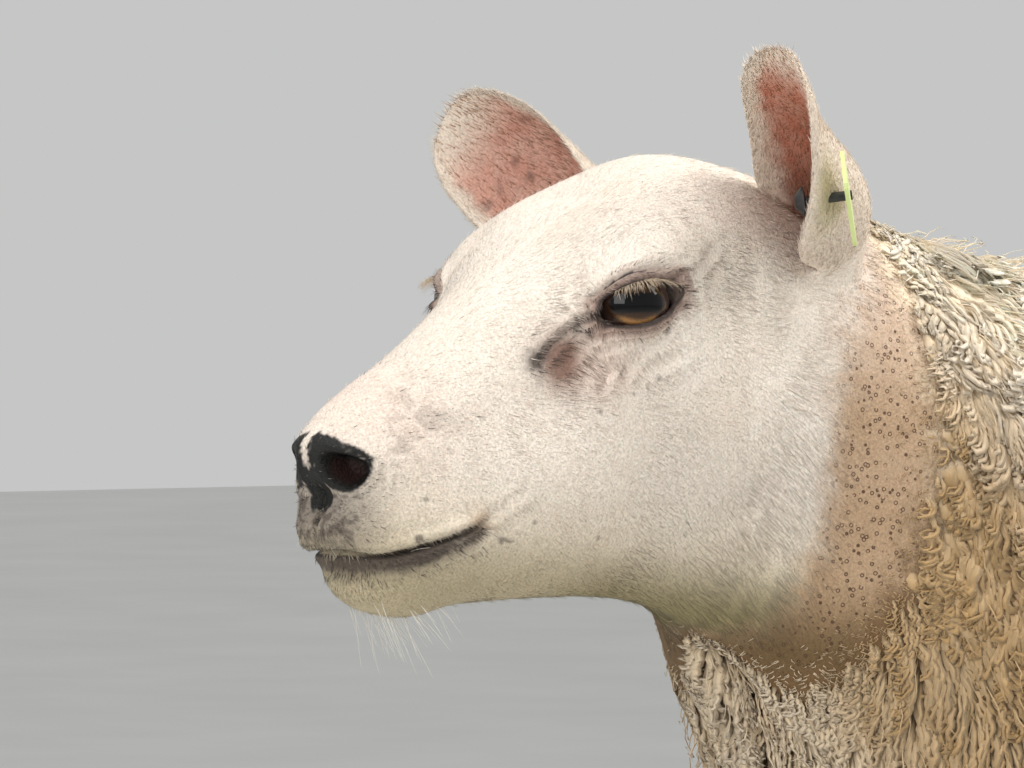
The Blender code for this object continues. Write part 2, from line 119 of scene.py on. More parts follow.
def to_left(points):
    """Each point, or its mirror image where it is on the right."""
    return np.abs(points * (1, 0, 0)) + points * (0, 1, 1)


# %% The body as a loft through rings
# One row for each ring: its place on the back line and on the belly line (behind and up), the height of its
# widest place as a share, its half width, and how square it is above and below.
RINGS = np.array((
    (6, -28, 6, -28, 0.5, 0, 2.0, 2.0),
    (2, -13, 9, -43, 0.5, 9, 2.0, 2.0),
    (0.5, 0, 16, -56, 0.5, 16, 2.0, 2.1),
    (6, 12, 28, -67, 0.5, 23.5, 2.0, 2.2),
    (16, 21, 43, -73, 0.5, 30, 2.1, 2.2),
    (32, 30, 60, -75, 0.48, 35, 2.2, 2.1),
    (50, 39, 84, -71, 0.46, 39, 2.2, 2.0),
    (75, 54, 112, -70, 0.45, 44.5, 2.2, 2.0),
    (103, 72, 143, -70, 0.52, 52, 2.3, 1.9),
    (130, 89, 172, -71, 0.72, 61, 2.6, 1.7),
    (158, 106, 196, -74, 0.78, 68, 2.9, 1.7),
    (185, 119, 216, -80, 0.74, 66, 2.7, 1.9),
    (213, 126, 234, -90, 0.68, 65, 2.4, 2.1),
    (250, 122, 250, -106, 0.62, 70, 2.2, 2.1),
    (300, 107, 264, -135, 0.58, 80, 2.1, 2.1),
    (360, 92, 281, -170, 0.55, 95, 2.1, 2.1),
    (430, 76, 312, -220, 0.52, 120, 2.1, 2.1),
    (510, 50, 352, -277, 0.5, 150, 2.1, 2.1),
    (590, 18, 390, -340, 0.5, 178, 2.2, 2.2),
    (660, 10, 480, -395, 0.48, 195, 2.3, 2.2),
    (740, 8, 620, -425, 0.47, 205, 2.3, 2.2),
    (840, 5, 780, -438, 0.46, 213, 2.4, 2.2),
    (940, 4, 920, -430, 0.46, 216, 2.4, 2.2),
    (1040, 4, 1050, -405, 0.47, 212, 2.4, 2.2),
    (1130, -2, 1150, -370, 0.5, 200, 2.3, 2.2),
    (1200, -20, 1215, -320, 0.52, 175, 2.2, 2.2),
    (1245, -65, 1255, -245, 0.54, 125, 2.1, 2.1),
    (1262, -150, 1262, -150, 0.5, 0, 2.0, 2.0),
), float)
RUMP = len(RINGS) - 1.0  # the ring step at which the loft closes again


def turned_over(row):
    """The ring past a closed end, where the loft has turned inside out."""
    return np.concatenate([row[2:4], row[0:2], row[4:5], -row[5:6], row[6:8]])


ROWS = np.vstack([turned_over(RINGS[1]), RINGS, turned_over(RINGS[-2])])


def catmull_rom(rows, steps):
    """The smooth curve through the rows at steps along it. The first and last row only bend its ends."""
    low = np.clip(steps.astype(int), 0, len(rows) - 4)
    t = (steps - low)[:, None]
    a, b, c, d = (rows[low + i] for i in range(4))
    return 0.5 * (2 * b + (c - a) * t + (2 * a - 5 * b + 4 * c - d) * t**2 + (3 * b - a - 3 * c + d) * t**3)


def body_at(s, a):
    """A point of the loft at ring step s and angle a, which runs once around from the back line.

    side = half width * |sin a|^(2/n), and the height follows |cos a|^(2/n) above and below the widest place.
    """
    s, a = np.broadcast_arrays(np.asarray(s, float), np.asarray(a, float))
    row = catmull_rom(ROWS, s.ravel()).reshape(*s.shape, 8)
    back, belly, widest, half = row[..., 0:2], row[..., 2:4], row[..., 4], row[..., 5]
    square = np.where(np.cos(a) >= 0, row[..., 6], row[..., 7])
    side = half * np.sign(np.sin(a)) * np.abs(np.sin(a)) ** (2 / square)
    rise = np.abs(np.cos(a)) ** (2 / square)
    share = np.where(np.cos(a) >= 0, widest + (1 - widest) * rise, widest * (1 - rise))
    return np.concatenate([side[..., None], belly + (back - belly) * share[..., None]], axis=-1)


# %% The turn of the neck
HEAD_TURN = math.radians(19.0)
TURN_FROM, TURN_TO = 560.0, 230.0
bend_behind = np.linspace(1300.0, -60.0, 1361)
bend_angle = HEAD_TURN * smooth(-bend_behind, -TURN_FROM, -TURN_TO)
bend_step = bend_behind[0] - bend_behind[1]
bend_x = np.cumsum(np.sin(bend_angle)) * bend_step
bend_y = bend_behind[0] - np.cumsum(np.cos(bend_angle)) * bend_step
frame_shift = np.zeros(3)


def placed(points):
    """Bends (side, behind, up) in mm to the left along the neck and sets it in the frame, in metres."""
    side, behind, up = np.moveaxis(np.asarray(points, float), -1, 0)
    turn, x, y = (np.interp(-behind, -bend_behind, line) for line in (bend_angle, bend_x, bend_y))
    x, y = x + side * np.cos(turn), y + side * np.sin(turn)
    return np.stack([x, y, up], axis=-1) * MM + frame_shift


round_trunk = np.arange(32) * 2 * math.pi / 32
trunk_steps = np.array([17.002, *np.arange(17.5, 27.0, 0.62), 26.85])
own_trunk = placed(body_at(trunk_steps[:, None], round_trunk)).reshape(-1, 3)
trunk_low, trunk_high = (np.array(corner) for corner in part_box("trunk"))
frame_shift = trunk_low - own_trunk.min(axis=0)
print("shift into the frame:", np.round(frame_shift, 4), "and the far corner is off by",
      np.round((trunk_high - own_trunk.max(axis=0) - frame_shift) * 1000, 2), "mm")
GROUND = -frame_shift[2] / MM  # the floor's height above the nose tip, in mm
print("the floor is at", round(GROUND, 1), "mm")

# %% [markdown]
# ## Meshes from whole arrays
# Every new piece is worked out as arrays: its points, its faces, and a colour for each point. A few
# functions turn them into an object, so that each piece below is only its own shape.

# %% Faces of a tube, and a mesh from arrays
def tube_faces(rings, sides, first=0):
    """Quads between rings of points, each ring closed on itself, counted ring by ring."""
    i, j = np.meshgrid(np.arange(rings - 1), np.arange(sides), indexing="ij")
    k = (j + 1) % sides
    quads = np.stack([i * sides + j, i * sides + k, (i + 1) * sides + k, (i + 1) * sides + j], axis=-1)
    return first + quads.reshape(-1, 4)


def fan_faces(ring, middle, outward=True):
    """Triangles from a ring of point numbers to one middle point."""
    ring = np.asarray(ring)
    after = np.roll(ring, -1)
    middles = np.full(len(ring), middle)
    return np.stack([ring, after, middles] if outward else [after, ring, middles], axis=-1)


def mesh_from(name, points, face_sets):
    """A smooth-shaded mesh from points in metres and arrays of faces with 3 or 4 corners each."""
    corners = np.concatenate([np.asarray(faces).ravel() for faces in face_sets])
    sizes = np.concatenate([np.full(len(faces), np.shape(faces)[1]) for faces in face_sets])
    mesh = bpy.data.meshes.new(name)
    mesh.vertices.add(len(points))
    mesh.vertices.foreach_set("co", np.asarray(points, np.float32).ravel())
    mesh.loops.add(len(corners))
    mesh.loops.foreach_set("vertex_index", corners.astype(np.int32))
    mesh.polygons.add(len(sizes))
    mesh.polygons.foreach_set("loop_start", (np.cumsum(sizes) - sizes).astype(np.int32))
    mesh.update(calc_edges=True)
    mesh.shade_smooth()
    return mesh


def paint(mesh, name, values):
    """Stores one colour, or one number, for each point."""
    values = np.asarray(values, np.float32)
    if values.ndim == 1:
        mesh.attributes.new(name, "FLOAT", "POINT").data.foreach_set("value", values)
    else:
        colours = np.ones((len(values), 4), np.float32)
        colours[:, :3] = values
        mesh.attributes.new(name, "FLOAT_COLOR", "POINT").data.foreach_set("color", colours.ravel())


def add_piece(mesh, finish, replaced=()):
    """Puts a mesh in the scene with its finish, riding on the sheep's one body."""
    thing = in_scene(mesh.name, mesh)
    mesh.materials.append(finish)
    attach(thing, "root")
    if replaced:
        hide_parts(*replaced)
    print(f"{mesh.name}: {len(mesh.vertices)} points, {len(mesh.loops) - 2 * len(mesh.polygons)} triangles")


# %% [markdown]
# ## The form of the head
# The loft alone is a smooth pear. A real head has a brow over each eye, a hollow temple, a chewing muscle
# and full lips. Each is a bell-shaped rise or hollow around one point, pushed away from the middle of its
# ring.

# %% Rises and hollows of the solid head
# side, behind, up, reach and rise in mm, on both sides of the face
HEAD_FORMS = (
    (63, 140, 84, 17, 5.0),  # brow ridge
    (67, 149, 60, 13, -4.5),  # eye socket
    (62, 196, 70, 20, -4.0),  # temple
    (56, 196, 8, 34, 5.0),  # chewing muscle
    (42, 112, 22, 24, -4.0),  # hollow of the face
    (24, 12, 2, 11, 3.0),  # rim of the nostril
    (20, 40, -66, 14, 2.0),  # chin
)
# And these are the finer ones that only the skin has.
FINE_FORMS = (
    (0, 38, 34, 9, 1.6),  # soft roll of skin on top of the nose
    (0, 58, 42, 10, -1.0),
    (12, 205, 128, 24, 1.8),  # poll
    (34, 150, 104, 14, 1.6),  # brow's inner end
    (0, 165, 110, 16, -2.0),  # dip between the brows
    (30, 8, -20, 8, 1.6),  # outer wing of the nostril
    (24, 22, -36, 13, 2.4),  # upper lip
    (30, 52, -30, 13, 1.4),
    (24, 34, -58, 11, 1.4),  # lower lip
    (40, 86, -36, 13, 1.8),  # cushion behind the corner of the mouth
    (47, 96, -10, 16, 1.6),  # cheek over the back teeth
    (40, 78, 12, 12, -1.4),
    (56, 128, 26, 10, 2.2),  # bony crest below the eye
    (50, 108, 42, 9, -1.8),  # tear pit
    (58, 160, 34, 14, 1.5),  # cheek bone behind the eye
    (50, 150, -52, 16, 2.2),  # edge of the jaw
    (44, 112, -60, 15, 1.5),
    (54, 192, -46, 16, 2.0),  # angle of the jaw
    (50, 222, -34, 13, -3.0),  # hollow behind the jaw
    (56, 232, 40, 12, -2.0),  # hollow below the ear
    (58, 226, 66, 12, 2.0),  # root of the ear's muscle
)


def raised(points, away, forms):
    """Points pushed along the arrows by rise * bell(distance / reach) around each form, on both sides."""
    moved = points.copy()
    for side, behind, up, reach, rise in forms:
        for hand in (-1, 1) if side else (1,):
            distance = np.linalg.norm(points - (hand * side, behind, up), axis=-1)
            moved += away * (rise * bell(distance, reach))[..., None]
    return moved


table_steps = np.linspace(0.0, RUMP, 541)
table_middles = body_at(table_steps[:, None], round_trunk).mean(axis=1)


def solid_at(s, a):
    """The surface of the solid model at ring step s and angle a."""
    points = body_at(s, a)
    flat = np.broadcast_to(np.asarray(s, float), points.shape[:-1])
    middle = np.stack([np.interp(flat, table_steps, table_middles[:, axis]) for axis in range(3)], axis=-1)
    return raised(points, unit(points - middle), HEAD_FORMS)


def outward_at(s, a):
    """Arrows straight out of the solid's surface: the cross product of its two directions."""
    ds, da = 0.02, 0.02
    around = solid_at(s, a + da) - solid_at(s, a - da)
    along = solid_at(np.minimum(s + ds, RUMP), a) - solid_at(np.maximum(s - ds, 0.0), a)
    return unit(np.cross(around, along))


# %% [markdown]
# ## How deep the coat is
# The solids reach to the tips of the coat, so the skin lies inside them by the coat's depth: a couple of
# millimetres on the face, and more with the wool. The wool starts behind the ears on top, and further back
# on the side of the neck, where a strip is almost bare.

# %% Where hair ends and wool starts
BARE_TABLE = (  # degrees from the back line, step where face hair ends, step where wool starts
    (0, 14.3, 14.4),
    (20, 14.2, 14.42),
    (35, 14.05, 14.4),
    (54, 13.75, 14.5),
    (66, 13.6, 14.6),
    (85, 13.35, 14.72),
    (99, 13.25, 14.78),
    (111, 13.28, 14.72),
    (124, 13.3, 14.55),
    (137, 13.2, 14.35),
    (152, 12.9, 14.0),
    (165, 12.35, 13.2),
    (173, 12.0, 12.4),
    (180, 11.8, 12.1),
)
bare_degrees, hair_steps, wool_steps = np.array(BARE_TABLE, float).T


def strip_at(a):
    """The ring steps where the face's hair ends and where wool starts, at an angle from the back line."""
    turn = np.degrees(np.arccos(np.clip(np.cos(a), -1, 1)))
    return np.interp(turn, bare_degrees, hair_steps), np.interp(turn, bare_degrees, wool_steps)


line_steps = np.linspace(0.4, RUMP - 0.05, 240)
line_back, line_belly = (catmull_rom(ROWS, line_steps)[:, at] for at in (slice(0, 2), slice(2, 4)))
line_run = unit(line_back - line_belly)


def ring_step(points):
    """The step of the ring that each point lies in.

    Each ring's plane is a line from belly to back, seen from the side. The lines that a point is behind are
    counted, and its distances from the last of them and the next give the share of the step between.
    """
    flat = np.asarray(points).reshape(-1, 3)
    steps = []
    for part in np.array_split(flat, len(flat) // 40000 + 1):
        behind, up = part[:, 1:2] - line_belly[:, 0], part[:, 2:3] - line_belly[:, 1]
        off = behind * line_run[:, 1] - up * line_run[:, 0]
        last = np.clip((off > 0).sum(axis=1) - 1, 0, len(line_steps) - 2)
        near, far = (np.take_along_axis(off, (last + more)[:, None], axis=1)[:, 0] for more in (0, 1))
        share = np.clip(near / np.maximum(near - far, 1e-6), 0, 1)
        steps.append(line_steps[last] + share * (line_steps[1] - line_steps[0]))
    return np.concatenate(steps).reshape(np.shape(points)[:-1])


def body_place(points):
    """Ring step and angle of points on or in the body: body_at turned the other way round."""
    steps = ring_step(points)
    row = catmull_rom(ROWS, steps.ravel()).reshape(*steps.shape, 8)
    run = row[..., 0:2] - row[..., 2:4]
    share = dot(points[..., 1:3] - row[..., 2:4], run) / np.maximum(dot(run, run), 1e-6)
    widest, half = row[..., 4], np.maximum(row[..., 5], 1.0)
    above = share >= widest
    rise = np.abs(share - widest) / np.where(above, 1 - widest, widest)
    power = np.where(above, row[..., 6], row[..., 7]) / 2
    angle = np.arctan2((np.abs(points[..., 0]) / half) ** power, np.where(above, 1, -1) * rise**power)
    return steps, angle * np.where(points[..., 0] < 0, -1, 1)


FACE_COAT = 2.2
NECK_COAT = 15.0
BODY_COAT = 32.0


def coat_depth(s, a):
    """The coat's depth in mm at a place on the body: short on the face, then growing with the wool."""
    past = s - strip_at(a)[1]
    neck = smooth(past, -0.25, 1.3) * (NECK_COAT - FACE_COAT)
    body = smooth(past, 1.0, 4.5) * (BODY_COAT - NECK_COAT)
    muzzle = FACE_COAT * smooth(s, 0.0, 2.5)
    return muzzle + neck + body


# %% [markdown]
# ## Folds, creases and openings
# A crease is a line of points on the head. What lies within its width sinks, and a soft welt rises beside
# it. The mouth is the deepest. The nostrils are pockets: inside a tilted oval the skin is drawn straight
# back into the head.

# %% Creases
# (width, depth, points as behind and up), all on the left and repeated on the right
CREASES = (
    (2.2, 0.2, ((74, -30), (84, -22), (96, -14))),  # up from the corner of the mouth
    (2.0, 2.1, ((131, 61), (120, 55), (109, 45), (101, 38))),  # tear line down to the tear pit
    (2.4, 0.3, ((170, 73), (180, 80), (190, 88))),  # from the eye's outer corner
    (3.2, 0.4, ((138, 34), (154, 35), (170, 43))),  # below the lower lid
    (4.5, 0.3, ((232, -20), (236, -50), (240, -74))),  # where the throat meets the jaw
    (4.0, 0.4, ((300, 20), (290, -4), (284, -40))),
)


def on_flank(line):
    """Sets a line of (behind, up) on the left flank, at the nearest place of the surface every few mm."""
    line = np.asarray(line, float)
    length = np.concatenate([[0], np.cumsum(np.hypot(*np.diff(line, axis=0).T))])
    fine = np.arange(0, length[-1] + 3, 3.0)
    flat = np.stack([np.interp(fine, length, line[:, axis]) for axis in range(2)], axis=-1)
    flank = solid_at(np.linspace(3, 15, 481)[:, None], np.radians(np.linspace(8, 172, 165))).reshape(-1, 3)
    nearest = [np.argmin(np.hypot(flank[:, 1] - behind, flank[:, 2] - up)) for behind, up in flat]
    return flank[list(dict.fromkeys(nearest))]


crease_lines = [(width, depth, on_flank(line)) for width, depth, line in CREASES]


def distance_to_line(points, line):
    """How far each point is from a line of straight stretches, and how far along it the nearest place is."""
    nearest, share = np.full(points.shape[:-1], np.inf), np.zeros(points.shape[:-1])
    for number, (start, end) in enumerate(zip(line, line[1:])):
        run = end - start
        t = np.clip((points - start) @ run / (run @ run), 0, 1)
        distance = np.linalg.norm(points - start - t[..., None] * run, axis=-1)
        share = np.where(distance < nearest, (number + t) / (len(line) - 1), share)
        nearest = np.minimum(nearest, distance)
    return nearest, share


def crease_rise(points):
    """Height added by the creases: a narrow hollow between two low welts, fading to nothing at both ends."""
    rise = np.zeros(points.shape[:-1])
    for width, depth, line in crease_lines:
        distance, share = distance_to_line(to_left(points), line)
        fade = smooth(share, 0.0, 0.35) * falls(share, 0.65, 1.0)
        rise += depth * fade * (0.5 * bell(distance - 2.2 * width, 1.2 * width) - bell(distance, width))
    return rise


# The line of the mouth from the middle of the lips to its corner, as behind and up.
MOUTH_LINE = np.array((
    (5, -45.5), (13, -46), (22, -45.5), (38, -42.5), (56, -37.5), (66, -34.5), (72, -31.5)))
MOUTH_CORNER = MOUTH_LINE[-1]


def mouth_height(points):
    """How far above the line of the mouth a point is, and how far it is past the mouth's corner."""
    behind, up = points[..., 1], points[..., 2]
    line = np.interp(behind, MOUTH_LINE[:, 0], MOUTH_LINE[:, 1])
    return up - line, behind - MOUTH_CORNER[0]


def mouth_rise(points):
    """A deep narrow groove between rounded lips that fades at the corner, and the muzzle's blunt end."""
    side, behind, up = np.moveaxis(points, -1, 0)
    above, past = mouth_height(points)
    fade = falls(past, -5.0, 1.5)
    groove = 5.0 * bell(above, 1.25) * fade
    lips = 1.5 * bell(above - 4.5, 3.2) + 1.0 * bell(above + 4.0, 3.0)
    fold = 1.1 * bell(np.hypot(above, past - 1.0), 3.2)
    cleft = 2.6 * bell(side, 1.5) * smooth(above, 0.5, 3.0) * falls(up, -24, -16) * falls(behind, 24, 34)
    nose = 2.0 * bell(up - 3, 6) - 8.0 * bell(up + 20, 8) + 1.8 * bell(up + 34, 5)
    chin = 11.0 * bell(above + 8, 9) * smooth(-above, -1, 2) * falls(behind, 10, 34)
    lip_corner = 6.0 * bell(above, 4.2) * smooth(above, -1.5, 1) * falls(behind, 8, 26)
    muzzle = nose * falls(behind, 8, 24) * bell(side, 19) - chin - lip_corner
    return muzzle + (lips * fade - groove - fold - cleft) * falls(behind, 84, 96)


# %% Nostrils
NOSTRIL_AT = np.array((16.5, 8.0, -6.5))
NOSTRIL_WIDE, NOSTRIL_HIGH, NOSTRIL_DEEP = 11.0, 8.0, 16.0
nostril_out = unit(np.array((0.6, -0.8, 0.05)))  # the way the nostril faces
nostril_across = unit(np.cross((0, 0, 1.0), nostril_out))


def nostril_share(points):
    """0 in the middle of a nostril and 1 on its rim, which is an oval with a tail swept down and outward."""
    away = to_left(points) - NOSTRIL_AT
    across, rise = away @ nostril_across, away[..., 2]
    rise = rise - 0.028 * across**2 + 0.2 * across + 1.5
    deep = np.abs(away @ nostril_out)
    return np.hypot(across / NOSTRIL_WIDE, rise / NOSTRIL_HIGH) + smooth(deep, 19.0, 27.0) * 4


def with_nostrils(points, outward):
    """Draws the skin inside each nostril straight back, with a raised rim around it."""
    share = nostril_share(points)
    inside = np.clip(1 - share, 0, 1)
    sunk = NOSTRIL_DEEP * smooth(inside, 0.0, 0.55)
    rim = 0.9 * bell(share - 1.25, 0.25)
    hand = np.sign(points[..., 0:1])
    inward = unit(np.concatenate([-0.35 * hand, np.full_like(hand, 0.93), np.full_like(hand, 0.15)], axis=-1))
    return points + inward * sunk[..., None] + outward * rim[..., None]


def skin_at(s, a, creased=True):
    """The skin: the solid's surface less the coat's depth, with fine forms, creases, mouth and nostrils."""
    outward, base = outward_at(s, a), solid_at(s, a)
    skin = raised(base - outward * coat_depth(s, a)[..., None], outward, FINE_FORMS)
    if not creased:
        return skin
    rise = crease_rise(base) + mouth_rise(base)
    return with_nostrils(skin + outward * rise[..., None], outward)


# %% [markdown]
# ## One grid from nose to rump
# The loft is sampled ring by ring, a millimetre or two apart on the face and further apart on the body,
# with points spread evenly along each ring. Where the face's rings of 288 points meet the body's rings of
# 96, one row of narrow faces joins every three points to one.

# %% Rings and their angles
FACE_SIDES, BODY_SIDES = 288, 96


def even_steps(start, end, spacing):
    """Ring steps from start to end whose rings lie about the given distance apart."""
    fine = np.linspace(start, end, 300)
    line = body_at(fine[:, None], np.arange(8) * math.pi / 4)
    run = np.linalg.norm(np.diff(line, axis=0), axis=-1).mean(axis=1)
    length = np.concatenate([[0], np.cumsum(run)])
    count = max(2, round(length[-1] / spacing))
    return np.interp(np.linspace(0, length[-1], count + 1), length, fine)[:-1]


def even_angles(steps, sides):
    """For each ring, the angles of points spread evenly along it from the back line."""
    dense = np.linspace(0, 2 * math.pi, 1441)
    line = body_at(np.asarray(steps)[:, None], dense)
    length = np.cumsum(np.linalg.norm(np.diff(line, axis=1), axis=-1), axis=1)
    length = np.concatenate([np.zeros((len(length), 1)), length], axis=1)
    share = np.arange(sides) / sides
    return np.array([np.interp(share * total[-1], total, dense) for total in length])


FACE_END = 14.6
face_steps, body_steps = (
    np.concatenate([even_steps(start, end, spacing) for start, end, spacing in stretches]) for stretches in (
        ((0.12, 6.0, 1.35), (6.0, 8.5, 2.0), (8.5, 11.6, 1.8), (11.6, FACE_END, 2.7)),
        ((FACE_END, 17.0, 7.0), (17.0, RUMP - 0.08, 12.0))))
face_angles = even_angles(face_steps, FACE_SIDES)
body_angles = even_angles(body_steps, BODY_SIDES)
face_points = skin_at(face_steps[:, None], face_angles)
body_points = skin_at(body_steps[:, None], body_angles)
print(len(face_steps), "rings on the head and upper neck,", len(body_steps), "behind them")

# %% [markdown]
# ## Eyes set behind lids
# An eyeball is a ball of fixed size. The lids are a sleeve of skin stretched over it: seen from the ball's
# centre, each direction has one distance to the skin. So a rectangle of the head's grid is taken out around
# each eye and filled with rings that shrink to the almond-shaped opening, and on, round the back of the
# ball, to a closed pocket.

# %% The eye's place and the almond of its opening
EYE_RADIUS = 17.5
eye_out = unit(np.array((0.92, -0.36, 0.1)))  # the way the eye looks
slit_level = unit(np.cross((0, 0, 1.0), eye_out))
SLIT_TILT = math.radians(15.0)  # the outer corner is the higher one
eye_up = np.cross(eye_out, slit_level)
slit_along = math.cos(SLIT_TILT) * slit_level + math.sin(SLIT_TILT) * eye_up
slit_up = math.cos(SLIT_TILT) * eye_up - math.sin(SLIT_TILT) * slit_level
EYE_CENTRE = np.array((52.0, 147.0, 62.0)) + eye_out * (14.5 - EYE_RADIUS)

turns = np.linspace(-math.pi, math.pi, 721)
ALMOND_LONG, ALMOND_TOP, ALMOND_LOW = 20.6, 8.3, 9.0
almond_x = ALMOND_LONG * np.cos(turns)
almond_y = np.where(turns > 0, ALMOND_TOP, ALMOND_LOW) * np.sin(turns) * np.abs(np.sin(turns)) ** 0.35
almond_x = almond_x - 2.2 * smooth(almond_y, 2, 10)
almond_order = np.argsort(np.arctan2(almond_y, almond_x))
almond_turns = np.arctan2(almond_y, almond_x)[almond_order]
almond_sizes = np.hypot(almond_x, almond_y)[almond_order]


def eye_view(points):
    """Seen from the left eye's centre: each point's distance, angle off the gaze, and turn about the gaze."""
    away = points - EYE_CENTRE
    distance = np.linalg.norm(away, axis=-1)
    off = np.arccos(np.clip(away @ eye_out / distance, -1, 1))
    turn = np.arctan2(away @ slit_up, away @ slit_along)
    return distance, off, turn


def from_eye(distance, off, turn):
    """The point at a distance, an angle off the gaze and a turn about it: the reverse of eye_view."""
    flat = slit_along * np.cos(turn)[..., None] + slit_up * np.sin(turn)[..., None]
    arrow = eye_out * np.cos(off)[..., None] + flat * np.sin(off)[..., None]
    return EYE_CENTRE + arrow * distance[..., None]


def margin_at(turn):
    """The lid's edge at a turn about the gaze: its distance from the eye's centre and angle off the gaze."""
    size = np.interp(turn, almond_turns, almond_sizes, period=2 * math.pi)
    corner = np.abs(np.cos(turn)) ** 8
    distance = EYE_RADIUS + 0.35 + 4.8 * corner * smooth(size, 15.0, 19.8)
    return distance, np.arcsin(np.clip(size / distance, 0, 0.97))


# %% The lids as rings around the opening
LID_THICK = 1.7
LID_RINGS = 26


def lid_folds(gap, turn):
    """Folds of the lids by distance in mm from the lid's edge: a deep one above, two shallow ones below."""
    above = smooth(np.sin(turn), 0.05, 0.5)
    below = smooth(-np.sin(turn), 0.05, 0.5)
    upper = -1.5 * bell(gap - 6.2, 1.5) + 0.9 * bell(gap - 3.2, 1.8) + 0.8 * bell(gap - 9.0, 2.2)
    lower = -0.9 * bell(gap - 4.6, 1.3) - 0.8 * bell(gap - 9.0, 1.6) + 0.7 * bell(gap - 6.8, 1.4)
    return above * upper + below * (lower + 0.5 * bell(gap - 2.2, 1.3))


def lid_patch(border, around):
    """Rings from a border on the head to the closed pocket behind the eyeball.

    border is the outermost ring. around holds the head's skin near the eye, which tells how far the skin is
    from the eye's centre in each direction.
    """
    far, off, turn = eye_view(border)
    edge_far, edge_off = margin_at(turn)
    t = np.linspace(0, 1, LID_RINGS + 1)[:, None] ** 0.85
    angle = off + (edge_off - off) * t
    turn_each = turn + 0 * angle
    arrows = from_eye(1 + 0 * angle, angle, turn_each) - EYE_CENTRE
    likeness = arrows.reshape(-1, 3) @ unit(around - EYE_CENTRE).T
    weight = np.exp((likeness - 1) / (2 * math.radians(2.0) ** 2))
    head_far = (weight @ eye_view(around)[0] / weight.sum(axis=1)).reshape(angle.shape)
    lid_far = edge_far + LID_THICK
    inward = smooth(t, 0.0, 0.22)
    head = head_far + (far - head_far[:1]) * (1 - inward)
    over = 0.5 * (head + lid_far + np.sqrt((head - lid_far) ** 2 + 4.0))
    distance = head + inward * (over - head + crease_rise(from_eye(over, angle, turn_each)))
    distance = distance + smooth(t, 0.62, 0.96) * (lid_far - distance)
    distance = distance + lid_folds((angle - edge_off) * lid_far, turn) * smooth(t, 0.1, 0.5)
    rings = [from_eye(distance, angle, turn_each)[1:]]
    edge = ((0.00, 0.72), (-0.012, 0.42), (-0.02, 0.16), (-0.012, 0.02))
    inner = [from_eye(edge_far + LID_THICK * lift, edge_off + shift, turn)[None] for shift, lift in edge]
    back = []
    for share in (0.06, 0.16, 0.3, 0.46, 0.62, 0.78, 0.91):
        wall = EYE_RADIUS + 0.9 + (edge_far - EYE_RADIUS - 0.9) * (1 - share) ** 6
        back.append(from_eye(wall, edge_off + (math.pi - edge_off) * share, turn)[None])
    pole = EYE_CENTRE - eye_out * (EYE_RADIUS + 0.9)
    return np.concatenate(rings + inner + back), pole


def eye_window():
    """First and last ring, and first and last place on them, of the rectangle cut out at the left eye."""
    plain = solid_at(face_steps[:, None], face_angles)
    away = plain - EYE_CENTRE
    long, tall, near = away @ slit_along, away @ slit_up, away @ eye_out
    inside = (np.abs(long) < 31) & (np.abs(tall) < 21) & (near > 0)
    rings, places = np.nonzero(inside)
    return rings.min(), rings.max(), places.min(), places.max()


window = eye_window()
print("eye window:", window)


# %% The whole body's mesh
def window_loop(first_ring, last_ring, first_place, last_place):
    """Point numbers once round a rectangle of the face's grid."""
    rings, places = np.arange(first_ring, last_ring), np.arange(first_place, last_place)
    loop = [(first_ring, places), (rings, last_place),
            (last_ring, places[::-1] + 1), (rings[::-1] + 1, first_place)]
    return np.concatenate([np.atleast_1d(ring * FACE_SIDES + place % FACE_SIDES) for ring, place in loop])


